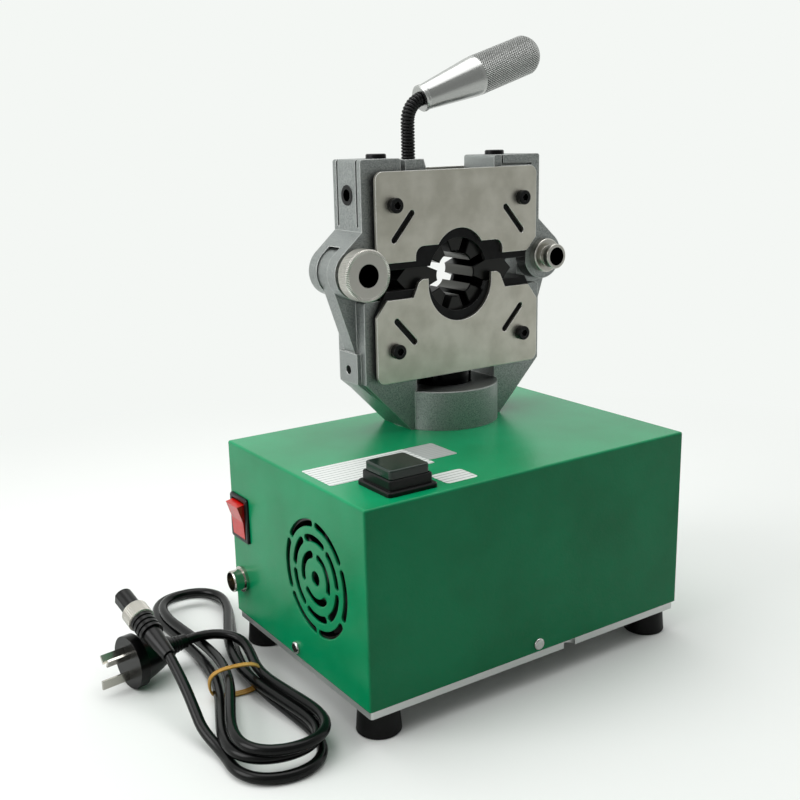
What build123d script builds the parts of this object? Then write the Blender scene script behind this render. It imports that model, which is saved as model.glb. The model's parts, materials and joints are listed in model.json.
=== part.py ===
from build123d import *
import math
import os

# Electric hose crimping machine: a sheet-metal pump box that carries a hinged steel crimping head.
# Millimetres. The origin is the middle of the machine's footprint, on the surface that it stands on.
# +X runs along the long side, +Y to the back and +Z up. The crimping head opens towards -Y.

# ---- Pump box -------------------------------------------------------------------------------------
COVER_L = 270.0
COVER_W = 185.0
COVER_H = 131.0
SHEET = 1.5
COVER_BEND = 1.6
COVER_MID_X = 4.0

FOOT_H = 17.0
FOOT_R_TOP = 13.4
FOOT_R_BOTTOM = 14.8
FOOT_INSET = 16.0

BASE_T = 6.0
BASE_INSET = 1.5
NOTCH_W = 15.0
NOTCH_DEPTH = 6.0
NOTCH_FROM_LEFT = 165.0

COVER_LEFT = COVER_MID_X - COVER_L / 2
COVER_RIGHT = COVER_MID_X + COVER_L / 2
COVER_FRONT = -COVER_W / 2
COVER_BACK = COVER_W / 2
BASE_TOP = FOOT_H + BASE_T
COVER_TOP = BASE_TOP + COVER_H

COVER_SCREW_Z = BASE_TOP + 6.0
COVER_SCREW_R = 2.0
SCREW_HEAD_R = 4.2
SCREW_HEAD_T = 2.2
BRACKET_W = 14.0
BRACKET_T = 8.0
BRACKET_H = 14.0

# ---- Left-hand panel: fan vent, power switch and power socket --------------------------------------
VENT_Y = COVER_FRONT + 62.0
VENT_Z = BASE_TOP + 66.7
FAN_SIZE = 80.0
FAN_DEPTH = 25.0
FAN_BORE_R = 38.0
FAN_BLADES = 7

SWITCH_Y = COVER_FRONT + 169.5
SWITCH_Z = BASE_TOP + 76.5
BEZEL_W = 27.0
BEZEL_H = 34.0
BEZEL_T = 2.0
SWITCH_OPEN_W = 19.4
SWITCH_OPEN_H = 28.2
ROCKER_TILT = 11.0
PIVOT_IN = 1.0
PIVOT_R = 1.5

SOCKET_Y = COVER_FRONT + 171.5
SOCKET_Z = BASE_TOP + 28.5
SOCKET_R = 7.8
SOCKET_BORE_R = 6.9
SOCKET_REACH = 10.2

# ---- Push button on the top -------------------------------------------------------------------------
BUTTON_X = COVER_LEFT + 41.5
BUTTON_Y = COVER_FRONT + 27.0
BUTTON_FLANGE = 37.0
BUTTON_BODY = 32.0
BUTTON_CAP = 29.2
BUTTON_TOP = 15.5
BUTTON_TRAVEL = 3.0

# ---- Crimping head -----------------------------------------------------------------------------------
# The head's own origin is the middle of the closed dies, which is level with both pins.
HEAD_X = COVER_LEFT + 161.0
HEAD_Y = COVER_FRONT + 142.5
HEAD_Z = COVER_TOP + 118.5
YOKE_HALF_DEPTH = 18.0
YOKE_HALF_WIDTH = 79.5
WINDOW_HALF_WIDTH = 66.0
PIN_X = 84.0
EAR_R = 18.0
KNUCKLE_R = 17.0
KNUCKLE_HALF = 7.0
EAR_GAP = 0.25
HINGE_PIN_R = 10.5
LOCK_PIN_R = 9.0
RUNNING_FIT = 0.06

BOSS_R = 42.0
BOSS_H = 29.0
ROD_R = 22.0
BARREL_R = 37.0
BARREL_BORE_R = 30.0
STROKE = 14.0

CARRIER_HALF_WIDTH = 65.8
CARRIER_HALF_DEPTH = 18.1
BACKING_T = 3.5
PLATE_T = 2.5
PLATE_SCREW_X = 57.0
PLATE_SCREW_UPPER_Z = 45.3
PLATE_SCREW_LOWER_Z = -56.5
PLATE_SCREW_R = 3.0
PLATE_SCREW_HEAD_R = 5.3
PLATE_SCREW_HEAD_T = 5.0

# Dies: eight 45 degree segments. DIE_BACK is from the closed middle to the flat back of the top die.
DIE_COUNT = 8
DIE_CLOSED_R = 9.5
DIE_BACK = 21.1
DIE_SIDE_BACK = 32.2
DIE_HALF_DEPTH = 17.8
DIE_GAP = 0.2
DIE_CHAMFER = 0.7

# ---- Handle -------------------------------------------------------------------------------------------
HANDLE_X = -34.5
HANDLE_Y = -10.0
HANDLE_BASE_Z = 75.0
GOOSENECK_R = 5.0
GOOSENECK_BEND_R = 15.8
GOOSENECK_BEND_Z = 101.0
GRIP_TILT = 18.2
GRIP_CONE_L = 51.0
GRIP_KNURL_L = 49.0
GRIP_R_SMALL = 9.4
GRIP_R = 14.2

# ---- Detached power cord --------------------------------------------------------------------------------
CORD_R = 3.5
HANK_H = 21.0


def outline(*points):
    """Flat face bounded by straight lines through the points."""
    return make_face(Polyline(*points, close=True))


def mirrored(*points):
    """Outline through points on the left half and their mirror images, given from top to bottom."""
    return outline(*points, *[(-x, z) for x, z in reversed(points)])


def head_plane(y):
    return Plane(origin=(HEAD_X, HEAD_Y + y, HEAD_Z), x_dir=(1, 0, 0), z_dir=(0, -1, 0))


def head_slab(face, front, back):
    """Head outline made solid between two depths, measured from the head's middle plane to the rear."""
    return extrude(head_plane(back) * face, back - front)


def head_rod(x, z, radius, front, back):
    return head_slab(Pos(x, z) * Circle(radius), front, back)


def box_between(x0, x1, y0, y1, z0, z1):
    return Pos((x0 + x1) / 2, (y0 + y1) / 2, (z0 + z1) / 2) * Box(x1 - x0, y1 - y0, z1 - z0)


def upright(x, y, z0, z1, radius):
    return Pos(x, y, (z0 + z1) / 2) * Cylinder(radius, z1 - z0)


def along_x(y, z, x0, x1, radius):
    return Pos((x0 + x1) / 2, y, z) * Rot(0, 90, 0) * Cylinder(radius, x1 - x0)


def along_y(x, z, y0, y1, radius):
    return Pos(x, (y0 + y1) / 2, z) * Rot(90, 0, 0) * Cylinder(radius, y1 - y0)


def rounded(face, radius, keep=None):
    """Round the corners of a flat face, all of them or those that keep() picks."""
    corners = face.vertices() if keep is None else face.vertices().filter_by(keep)
    return fillet(corners, radius)


def solids_of(*pieces):
    """Separate solids that share a node."""
    return Compound(children=[solid for piece in pieces for solid in piece.solids()])


# ---- Pump box pieces --------------------------------------------------------------------------------------
def foot_centres():
    reach_x = COVER_L / 2 - FOOT_INSET
    reach_y = COVER_W / 2 - FOOT_INSET
    return [(COVER_MID_X + sx * reach_x, sy * reach_y) for sx in (-1, 1) for sy in (-1, 1)]


def make_feet():
    """Four tapered rubber feet, each recessed from below for its screw."""
    feet = []
    for x, y in foot_centres():
        foot = Pos(x, y, 0) * Cone(FOOT_R_BOTTOM, FOOT_R_TOP, FOOT_H, align=(Align.CENTER, Align.CENTER, Align.MIN))
        foot = chamfer(foot.edges().filter_by(GeomType.CIRCLE).sort_by(Axis.Z)[0], 0.8)
        feet.append(foot - upright(x, y, 0, 6.0, 5.5) - upright(x, y, 6.0, FOOT_H, 2.5))
    return solids_of(*feet)


def make_foot_screws():
    screws = []
    for x, y in foot_centres():
        screw = upright(x, y, 3.0, 6.0, 4.5) + upright(x, y, 6.0, BASE_TOP + 4.0, 2.5)
        nut = Pos(x, y, BASE_TOP) * extrude(RegularPolygon(4.6, 6), 3.0)
        screws.append(screw + nut)
    return solids_of(*screws)


def make_base_plate():
    length = COVER_L - 2 * BASE_INSET
    width = COVER_W - 2 * BASE_INSET
    plate = rounded(Rectangle(length, width), 2.0)
    notch_x = NOTCH_FROM_LEFT - COVER_L / 2
    plate -= Pos(notch_x, -width / 2) * SlotOverall(2 * NOTCH_DEPTH, NOTCH_W * 0.7, rotation=90)
    solid = extrude(Pos(COVER_MID_X, 0, FOOT_H) * plate, BASE_T)
    for x, y in foot_centres():
        solid -= upright(x, y, FOOT_H, BASE_TOP, 2.5)
    return solid


def side_middles():
    """Middle of each side of the cover and the outward direction there."""
    return [
        ((COVER_LEFT, 0.0), (-1, 0)),
        ((COVER_RIGHT, 0.0), (1, 0)),
        ((COVER_MID_X, COVER_FRONT), (0, -1)),
        ((COVER_MID_X, COVER_BACK), (0, 1)),
    ]


def side_rod(centre, outward, start, end, radius):
    """Round bar square to a side, from start to end millimetres outside that side's face."""
    (x, y), (nx, ny) = centre, outward
    middle = (start + end) / 2
    turn = Rot(0, 90, 0) if nx else Rot(90, 0, 0)
    return Pos(x + nx * middle, y + ny * middle, COVER_SCREW_Z) * turn * Cylinder(radius, end - start)


def make_cover_brackets():
    """Tapped blocks on the base plate that the cover's screws go into."""
    brackets = []
    for (x, y), (nx, ny) in side_middles():
        inner = SHEET + BRACKET_T / 2
        size_x = BRACKET_T if nx else BRACKET_W
        size_y = BRACKET_W if nx else BRACKET_T
        place = Pos(x - nx * inner, y - ny * inner, BASE_TOP + BRACKET_H / 2)
        block = place * Box(size_x, size_y, BRACKET_H)
        brackets.append(block - side_rod((x, y), (nx, ny), -9.5, 0.0, COVER_SCREW_R))
    return solids_of(*brackets)


def make_cover_screws():
    """Domed cross-head screws, one in the middle of each side."""
    screws = []
    for centre, outward in side_middles():
        head = side_rod(centre, outward, 0.0, SCREW_HEAD_T, SCREW_HEAD_R)
        (x, y), (nx, ny) = centre, outward
        rim = head.edges().filter_by(GeomType.CIRCLE).sort_by(lambda e: e.center().X * nx + e.center().Y * ny)[-1]
        head = fillet(rim, 1.4)
        screws.append(head + side_rod(centre, outward, -9.5, 0.0, COVER_SCREW_R))
    return solids_of(*screws)


def arc_slot(radius, width, start, sweep):
    """Round-ended slot that follows a circle, angles in degrees."""
    first = math.radians(start)
    middle = math.radians(start + sweep / 2)
    last = math.radians(start + sweep)
    points = [(radius * math.cos(a), radius * math.sin(a)) for a in (first, middle, last)]
    spine = ThreePointArc(*points)
    return SlotArc(spine, width)


def vent_slots():
    """Fan vent: three rings of curved slots round a hole, in the plane of the left-hand panel."""
    face = Circle(5.0)
    for count, radius, width, land, turn in ((6, 37.0, 5.0, 12.0, 90.0), (6, 27.0, 5.0, 16.0, 60.0), (3, 16.0, 5.0, 34.0, 90.0)):
        pitch = 360.0 / count
        for k in range(count):
            face += arc_slot(radius, width, turn + k * pitch + land / 2, pitch - land)
    return face


def left_panel_plane(y, z):
    return Plane(origin=(COVER_LEFT, y, z), x_dir=(0, -1, 0), z_dir=(-1, 0, 0))


def make_cover():
    """Folded and painted steel cover, open at the bottom."""
    outer = box_between(COVER_LEFT, COVER_RIGHT, COVER_FRONT, COVER_BACK, BASE_TOP, COVER_TOP)
    bends = outer.edges().filter_by(Axis.Z) + outer.edges().group_by(Axis.Z)[-1]
    outer = fillet(bends, COVER_BEND)
    inner = box_between(
        COVER_LEFT + SHEET, COVER_RIGHT - SHEET, COVER_FRONT + SHEET, COVER_BACK - SHEET, BASE_TOP, COVER_TOP - SHEET
    )
    cover = outer - inner
    cover -= upright(HEAD_X, HEAD_Y, COVER_TOP - 5, COVER_TOP + 5, BARREL_R + 0.4)
    cover -= upright(BUTTON_X, BUTTON_Y, COVER_TOP - 5, COVER_TOP + 5, 11.0)
    vent = extrude(left_panel_plane(VENT_Y, VENT_Z) * vent_slots(), 5, both=True)
    switch = box_between(
        COVER_LEFT - 5, COVER_LEFT + 5,
        SWITCH_Y - SWITCH_OPEN_W / 2 - 1.6, SWITCH_Y + SWITCH_OPEN_W / 2 + 1.6,
        SWITCH_Z - SWITCH_OPEN_H / 2 - 1.4, SWITCH_Z + SWITCH_OPEN_H / 2 + 1.4,
    )
    cover = cover - vent - switch - along_x(SOCKET_Y, SOCKET_Z, COVER_LEFT - 5, COVER_LEFT + 5, SOCKET_R)
    for centre, outward in side_middles():
        cover -= side_rod(centre, outward, -5.0, 5.0, COVER_SCREW_R)
    return cover


# ---- Left-hand panel pieces ---------------------------------------------------------------------------------
def make_fan_frame():
    """Square axial fan housing with a three-arm motor spider at its inner side."""
    front = COVER_LEFT + SHEET
    plane = Plane(origin=(front, VENT_Y, VENT_Z), x_dir=(0, 1, 0), z_dir=(1, 0, 0))
    ring = rounded(Rectangle(FAN_SIZE, FAN_SIZE), 5.0) - Circle(FAN_BORE_R)
    for sx in (-1, 1):
        for sy in (-1, 1):
            ring -= Pos(sx * (FAN_SIZE / 2 - 4.2), sy * (FAN_SIZE / 2 - 4.2)) * Circle(2.1)
    frame = extrude(plane * ring, FAN_DEPTH)
    spider = Circle(17.0)
    for k in range(3):
        spider += Rot(0, 0, 120 * k) * Pos(28.0, 0) * Rectangle(24.0, 5.0)
    spider = Plane(origin=(front + FAN_DEPTH - 3.0, VENT_Y, VENT_Z), x_dir=(0, 1, 0), z_dir=(1, 0, 0)) * spider
    return frame + extrude(spider, 3.0) + along_x(VENT_Y, VENT_Z, front + 8.0, front + FAN_DEPTH - 3.0, 2.0)


def make_fan_rotor():
    """Hub and pitched blades, turning on the fan's fixed pin."""
    front = COVER_LEFT + SHEET + 2.5
    hub = along_x(VENT_Y, VENT_Z, front, front + 18.0, 17.0)
    hub = fillet(hub.edges().filter_by(GeomType.CIRCLE).sort_by(Axis.X)[0], 2.5)
    rotor = hub
    for k in range(FAN_BLADES):
        blade = Pos(0, 0, 26.0) * Rot(0, 0, 38) * Box(17.0, 1.8, 22.0)
        blade = Pos(front + 9.0, VENT_Y, VENT_Z) * Rot(360.0 * k / FAN_BLADES, 0, 0) * blade
        rotor += blade
    return rotor - along_x(VENT_Y, VENT_Z, front + 5.0, front + 18.0, 2.0 + RUNNING_FIT)


def make_rocker_bezel():
    """Switch body with its flanged bezel, clipped into the panel."""
    bezel = Plane(origin=(COVER_LEFT, SWITCH_Y, SWITCH_Z), x_dir=(0, -1, 0), z_dir=(-1, 0, 0))
    rim = extrude(bezel * rounded(Rectangle(BEZEL_W, BEZEL_H), 2.5), BEZEL_T)
    rim = chamfer(rim.faces().sort_by(Axis.X)[0].edges(), 0.8)
    body = box_between(
        COVER_LEFT, COVER_LEFT + 22.0,
        SWITCH_Y - SWITCH_OPEN_W / 2 - 1.6, SWITCH_Y + SWITCH_OPEN_W / 2 + 1.6,
        SWITCH_Z - SWITCH_OPEN_H / 2 - 1.4, SWITCH_Z + SWITCH_OPEN_H / 2 + 1.4,
    )
    pocket = box_between(
        COVER_LEFT - BEZEL_T, COVER_LEFT + 15.0,
        SWITCH_Y - SWITCH_OPEN_W / 2, SWITCH_Y + SWITCH_OPEN_W / 2,
        SWITCH_Z - SWITCH_OPEN_H / 2, SWITCH_Z + SWITCH_OPEN_H / 2,
    )
    tabs = []
    for z in (-8.0, 0.0, 8.0):
        tabs.append(box_between(COVER_LEFT + 22, COVER_LEFT + 30, SWITCH_Y - 3, SWITCH_Y + 3, SWITCH_Z + z - 0.4, SWITCH_Z + z + 0.4))
    bezel_body = rim + body - pocket
    for tab in tabs:
        bezel_body += tab
    for side in (-1, 1):
        wall = SWITCH_Y + side * (SWITCH_OPEN_W / 2 + 0.2)
        tip = SWITCH_Y + side * (SWITCH_OPEN_W / 2 - 1.8)
        bezel_body += along_y(COVER_LEFT + PIVOT_IN, SWITCH_Z, min(wall, tip), max(wall, tip), PIVOT_R)
    return bezel_body


def make_rocker():
    """Red rocker, drawn level and then tilted with its upper edge out."""
    half = SWITCH_OPEN_H / 2 - 1.3
    plane = Plane(origin=(0, SWITCH_OPEN_W / 2 - 0.4, 0), x_dir=(1, 0, 0), z_dir=(0, -1, 0))
    face = outline((-5.8, half), (-4.2, 0), (-5.8, -half), (0, -half), (7.0, -9.0), (7.0, 9.0), (0, half))
    rocker = extrude(plane * face, SWITCH_OPEN_W - 0.8)
    for side in (-1, 1):
        end = side * (SWITCH_OPEN_W / 2)
        inner = side * (SWITCH_OPEN_W / 2 - 2.2)
        rocker -= along_y(0, 0, min(end, inner), max(end, inner), PIVOT_R + RUNNING_FIT)
    return Pos(COVER_LEFT + PIVOT_IN, SWITCH_Y, SWITCH_Z) * Rot(0, -ROCKER_TILT, 0) * rocker


def make_socket_shell():
    """Round nickel-plated power inlet: flange, threaded nose and keyed mouth."""
    tip = COVER_LEFT - SOCKET_REACH
    shell = along_x(SOCKET_Y, SOCKET_Z, tip, COVER_LEFT + 13.0, SOCKET_R)
    shell = chamfer(shell.edges().filter_by(GeomType.CIRCLE).sort_by(Axis.X)[0], 0.7)
    shell += along_x(SOCKET_Y, SOCKET_Z, COVER_LEFT - 2.2, COVER_LEFT, 9.6)
    mouth = along_x(SOCKET_Y, SOCKET_Z, tip, COVER_LEFT + 1.0, SOCKET_BORE_R)
    key = box_between(tip, COVER_LEFT - 2.0, SOCKET_Y - 1.0, SOCKET_Y + 1.0, SOCKET_Z + 5.5, SOCKET_Z + SOCKET_R - 0.6)
    return shell - mouth - key


def make_socket_nut():
    plane = Plane(origin=(COVER_LEFT + SHEET, SOCKET_Y, SOCKET_Z), x_dir=(0, 1, 0), z_dir=(1, 0, 0))
    return extrude(plane * (RegularPolygon(11.0, 6) - Circle(SOCKET_R)), 3.0)


def make_socket_pins():
    """Three contact pins standing on the floor of the inlet."""
    pins = []
    for k in range(3):
        turn = math.radians(90 + 120 * k)
        y = SOCKET_Y + 3.2 * math.cos(turn)
        z = SOCKET_Z + 3.2 * math.sin(turn)
        pins.append(along_x(y, z, COVER_LEFT - 3.5, COVER_LEFT + 1.0, 0.9))
    return solids_of(*pins)


# ---- Push button pieces -----------------------------------------------------------------------------------------
def square_column(size, z0, z1, corner=2.0):
    face = rounded(Rectangle(size, size), corner)
    return extrude(Pos(BUTTON_X, BUTTON_Y, COVER_TOP + z0) * face, z1 - z0)


def make_button_housing():
    """Square flange and collar with a threaded stem through the cover."""
    flange = square_column(BUTTON_FLANGE, 0.0, 3.2, 3.0)
    flange = chamfer(flange.faces().sort_by(Axis.Z)[-1].edges(), 0.8)
    collar = square_column(BUTTON_BODY, 3.2, 9.5)
    collar = chamfer(collar.faces().sort_by(Axis.Z)[-1].edges(), 0.6)
    stem = upright(BUTTON_X, BUTTON_Y, COVER_TOP - 28.0, COVER_TOP, 11.0)
    return flange + collar + stem - square_column(BUTTON_CAP + 0.6, 1.0, 9.5)


def make_button_cap():
    cap = square_column(BUTTON_CAP, 4.5, BUTTON_TOP, 2.5)
    cap = fillet(cap.faces().sort_by(Axis.Z)[-1].edges(), 1.2)
    return cap


# ---- Inside the pump box --------------------------------------------------------------------------------------------
MOTOR_Y = -40.0
MOTOR_Z = BASE_TOP + 45.0
MOTOR_R = 34.0
MOTOR_X0 = -96.0
MOTOR_X1 = 18.0
PUMP_X1 = 62.0
TANK_X0 = 74.0
TANK_X1 = 126.0


def make_motor():
    """Finned motor with end bells, on a saddle foot."""
    motor = along_x(MOTOR_Y, MOTOR_Z, MOTOR_X0, MOTOR_X1, MOTOR_R)
    motor = fillet(motor.edges().filter_by(GeomType.CIRCLE).sort_by(Axis.X)[0], 4.0)
    for k in range(5):
        x = MOTOR_X0 + 18.0 + 16.0 * k
        groove = along_x(MOTOR_Y, MOTOR_Z, x, x + 8.0, MOTOR_R) - along_x(MOTOR_Y, MOTOR_Z, x, x + 8.0, MOTOR_R - 2.0)
        motor -= groove
    saddle = box_between(MOTOR_X0 + 12, MOTOR_X1 - 12, MOTOR_Y - 26, MOTOR_Y + 26, BASE_TOP, MOTOR_Z - 20)
    return motor + saddle


def make_pump_block():
    """Valve and pump block, bolted to the motor's end."""
    block = box_between(MOTOR_X1, PUMP_X1, MOTOR_Y - 32, MOTOR_Y + 30, BASE_TOP, MOTOR_Z + 42)
    block = chamfer(block.edges().filter_by(Axis.Z), 3.0)
    block += upright(PUMP_X1 - 18, MOTOR_Y - 12, MOTOR_Z + 42, MOTOR_Z + 56, 8.0)
    return block


def make_oil_tank():
    tank = box_between(TANK_X0, TANK_X1, -66.0, 62.0, BASE_TOP, BASE_TOP + 96.0)
    tank = fillet(tank.edges().filter_by(Axis.Z), 9.0)
    cap = Pos((TANK_X0 + TANK_X1) / 2, -42.0, BASE_TOP + 96.0) * extrude(RegularPolygon(13.0, 6), 9.0)
    return tank + cap


PIPE_R = 4.0
PIPE_Z = BASE_TOP + 24.0


def make_pressure_pipe():
    """Steel pipe from the pump block to the foot of the cylinder."""
    start = MOTOR_Y + 30
    end = HEAD_Y - math.sqrt(BARREL_R**2 - PIPE_R**2)
    pipe = along_y(HEAD_X, PIPE_Z, start, end, PIPE_R)
    for y in (start, end - 10):
        collar = Plane(origin=(HEAD_X, y + 8, PIPE_Z), x_dir=(1, 0, 0), z_dir=(0, -1, 0))
        pipe += extrude(collar * RegularPolygon(7.5, 6), 8.0)
    return pipe - upright(HEAD_X, HEAD_Y, BASE_TOP, COVER_TOP, BARREL_R)


def make_control_board():
    """Circuit board on four pillars with its relay, transformer and capacitors."""
    x0, x1, y0, y1 = -96.0, -20.0, 26.0, 84.0
    board_z = BASE_TOP + 10.0
    board = box_between(x0, x1, y0, y1, board_z, board_z + 1.6)
    pillars = [upright(x, y, BASE_TOP, board_z, 3.0) for x in (x0 + 6, x1 - 6) for y in (y0 + 6, y1 - 6)]
    top = board_z + 1.6
    transformer = box_between(x0 + 14, x0 + 44, y0 + 14, y0 + 44, top, top + 26)
    relay = box_between(x0 + 52, x0 + 68, y0 + 8, y0 + 36, top, top + 16)
    capacitor = upright(x1 - 16, y1 - 14, top, top + 30, 8.0)
    return solids_of(board, *pillars, transformer, relay, capacitor)


# ---- Hydraulic cylinder -----------------------------------------------------------------------------------------------
BARREL_FLOOR = 8.0
SPIGOT_L = 12.0


def make_cylinder_barrel():
    barrel = upright(HEAD_X, HEAD_Y, BASE_TOP, COVER_TOP, BARREL_R)
    return barrel - upright(HEAD_X, HEAD_Y, BASE_TOP + BARREL_FLOOR, COVER_TOP, BARREL_BORE_R)


CARRIER_BOTTOM = -68.5
NECK_Z = -80.0
NECK_R = 17.8


def make_ram():
    """Piston, rod and a neck that stands between the hanging plates and carries the lower carrier."""
    start = BASE_TOP + BARREL_FLOOR + 0.5
    piston = upright(HEAD_X, HEAD_Y, start, start + 26.0, BARREL_BORE_R - RUNNING_FIT)
    piston -= upright(HEAD_X, HEAD_Y, start + 10, start + 15, BARREL_BORE_R) - upright(
        HEAD_X, HEAD_Y, start + 10, start + 15, BARREL_BORE_R - 2.5
    )
    rod = upright(HEAD_X, HEAD_Y, start + 26.0, HEAD_Z + NECK_Z, ROD_R - RUNNING_FIT)
    neck = upright(HEAD_X, HEAD_Y, HEAD_Z + NECK_Z, HEAD_Z + CARRIER_BOTTOM, NECK_R)
    return piston + rod + neck


# ---- Crimping head: the two yokes ------------------------------------------------------------------------------------------
YOKE_BASE = COVER_TOP - HEAD_Z
POST_TOP = -20.5
SLOPE_Z = -79.5
WINDOW_FLOOR = -73.5
THROAT_FLOOR = YOKE_BASE + BOSS_H
THROAT_HALF_WIDTH = 36.0
LUG_OUT = 82.8


def make_lower_yoke():
    """Lower casting: two posts on a round cylinder boss, with a hinge knuckle at each side."""
    body = mirrored(
        (-YOKE_HALF_WIDTH, POST_TOP), (-YOKE_HALF_WIDTH, SLOPE_Z), (-YOKE_HALF_WIDTH + 38.0, YOKE_BASE)
    )
    body = rounded(body, 2.0, lambda v: v.Y > SLOPE_Z + 1)
    yoke = head_slab(body, -YOKE_HALF_DEPTH, YOKE_HALF_DEPTH)
    arm_foot = -59.5
    for side in (-1, 1):
        arm = outline(
            (side * (PIN_X + KNUCKLE_R), 0), (side * (YOKE_HALF_WIDTH + 1.2), arm_foot),
            (side * (WINDOW_HALF_WIDTH + 2), arm_foot), (side * (PIN_X - KNUCKLE_R), 0),
        )
        arm += Pos(side * PIN_X, 0) * Circle(KNUCKLE_R)
        yoke += head_slab(arm, -KNUCKLE_HALF, KNUCKLE_HALF)
        lug = outline(
            (side * LUG_OUT, arm_foot + 2), (side * LUG_OUT, SLOPE_Z), (side * 44, SLOPE_Z - 33.5),
            (side * 60, SLOPE_Z - 5), (side * 70, arm_foot + 2),
        )
        yoke += head_slab(lug, -12.0, 12.0)
    boss = upright(HEAD_X, HEAD_Y, COVER_TOP, COVER_TOP + BOSS_H, BOSS_R)
    boss = fillet(boss.edges().filter_by(GeomType.CIRCLE).sort_by(Axis.Z)[-1], 0.7)
    yoke += boss
    yoke += upright(HEAD_X, HEAD_Y, COVER_TOP - SPIGOT_L, COVER_TOP, BARREL_BORE_R)
    window = Pos(0, (WINDOW_FLOOR + 30) / 2) * Rectangle(2 * WINDOW_HALF_WIDTH, 30 - WINDOW_FLOOR)
    throat = Pos(0, (THROAT_FLOOR + WINDOW_FLOOR) / 2 + 1) * Rectangle(
        2 * THROAT_HALF_WIDTH, WINDOW_FLOOR - THROAT_FLOOR + 2
    )
    yoke -= head_slab(window + throat, -60.0, 60.0)
    yoke -= upright(HEAD_X, HEAD_Y, COVER_TOP - 20, HEAD_Z, ROD_R)
    yoke -= head_rod(-PIN_X, 0, HINGE_PIN_R, -30, 30)
    yoke -= head_rod(PIN_X, 0, LOCK_PIN_R + RUNNING_FIT, -30, 30)
    for side in (-1, 1):
        reach = HEAD_X + side * (LUG_OUT - 6)
        yoke -= Pos(reach, HEAD_Y, HEAD_Z - 70.3) * Rot(0, 90, 0) * Cylinder(3.4, 14.0)
    return yoke


BEAM_TOP = 63.5
HORN_TOP = 76.5
WINDOW_TOP = 53.5
FORK_TOP = 17.8
FLARE_Z = 28.0


def make_upper_yoke():
    """Upper casting: an arch that swings on the hinge pin, forked at both sides round the knuckles."""
    body = outline(
        (-YOKE_HALF_WIDTH, 0), (-YOKE_HALF_WIDTH, HORN_TOP), (-46.5, HORN_TOP), (-46.5, BEAM_TOP),
        (-42.6, BEAM_TOP), (-42.6, HORN_TOP - 1), (-27.0, HORN_TOP - 1), (-25.0, HORN_TOP - 7), (-25.0, BEAM_TOP),
        (36.0, BEAM_TOP), (36.0, HORN_TOP), (YOKE_HALF_WIDTH, HORN_TOP), (YOKE_HALF_WIDTH, 0),
    )
    body = rounded(body, 2.0, lambda v: v.Y > HORN_TOP - 0.5)
    for side in (-1, 1):
        body += outline(
            (side * YOKE_HALF_WIDTH, FLARE_Z), (side * (PIN_X + 12.7), 12.7), (side * PIN_X, 0),
            (side * WINDOW_HALF_WIDTH, 0), (side * WINDOW_HALF_WIDTH, FLARE_Z),
        )
        body += Pos(side * PIN_X, 0) * Circle(EAR_R)
    body -= Pos(0, WINDOW_TOP / 2 - 20) * Rectangle(2 * WINDOW_HALF_WIDTH, WINDOW_TOP + 40)
    yoke = head_slab(body, -YOKE_HALF_DEPTH, YOKE_HALF_DEPTH)
    fork_half = KNUCKLE_HALF + EAR_GAP
    for side in (-1, 1):
        middle = side * (WINDOW_HALF_WIDTH + 25)
        fork = Pos(middle, FORK_TOP - 25) * Rectangle(50, 50)
        yoke -= head_slab(fork, -fork_half, fork_half)
        groove_x = HEAD_X + side * YOKE_HALF_WIDTH
        for depth in (-12.5, 12.5):
            yoke -= box_between(
                groove_x - 2.5, groove_x + 2.5, HEAD_Y + depth - 1.0, HEAD_Y + depth + 1.0,
                HEAD_Z + FLARE_Z + 3, HEAD_Z + HORN_TOP,
            )
        yoke -= Pos(HEAD_X + side * (YOKE_HALF_WIDTH - 5), HEAD_Y, HEAD_Z + 52.4) * Rot(0, 90, 0) * Cylinder(7.0, 10.0)
    yoke -= box_between(HEAD_X + 43.0, HEAD_X + 44.6, HEAD_Y - 18, HEAD_Y - 15, HEAD_Z + 69, HEAD_Z + HORN_TOP)
    yoke -= box_between(HEAD_X + 43.0, HEAD_X + 72.0, HEAD_Y - 18, HEAD_Y - 15, HEAD_Z + 68.6, HEAD_Z + 70.0)
    yoke -= head_rod(-PIN_X, 0, HINGE_PIN_R + RUNNING_FIT, -30, 30)
    yoke -= head_rod(PIN_X, 0, LOCK_PIN_R + RUNNING_FIT, -30, 30)
    for x in TOP_SCREW_X:
        yoke -= upright(HEAD_X + x, HEAD_Y, HEAD_Z + 40, HEAD_Z + HORN_TOP + 1, 4.0)
    return yoke - upright(HEAD_X + HANDLE_X, HEAD_Y + HANDLE_Y, HEAD_Z + 62, HEAD_Z + 80, GOOSENECK_R - 1.1)


TOP_SCREW_X = (-55.0, 50.7)


def make_top_screws():
    """Button-head screws that hold the upper die carrier up in the arch."""
    screws = []
    for x in TOP_SCREW_X:
        head = upright(HEAD_X + x, HEAD_Y, HEAD_Z + HORN_TOP, HEAD_Z + HORN_TOP + 3.2, 7.2)
        head = fillet(head.edges().filter_by(GeomType.CIRCLE).sort_by(Axis.Z)[-1], 1.2)
        shank = upright(HEAD_X + x, HEAD_Y, HEAD_Z + 41, HEAD_Z + HORN_TOP, 4.0)
        screws.append(head + shank)
    return solids_of(*screws)


def make_side_bushes():
    """Threaded bushes in the two sides of the upper yoke."""
    bushes = []
    for side in (-1, 1):
        x = HEAD_X + side * (YOKE_HALF_WIDTH - 4.8)
        bush = Pos(x, HEAD_Y, HEAD_Z + 52.4) * Rot(0, 90, 0) * Cylinder(7.0, 10.4)
        bushes.append(bush - Pos(x, HEAD_Y, HEAD_Z + 52.4) * Rot(0, 90, 0) * Cylinder(4.3, 10.4))
    return solids_of(*bushes)


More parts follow.
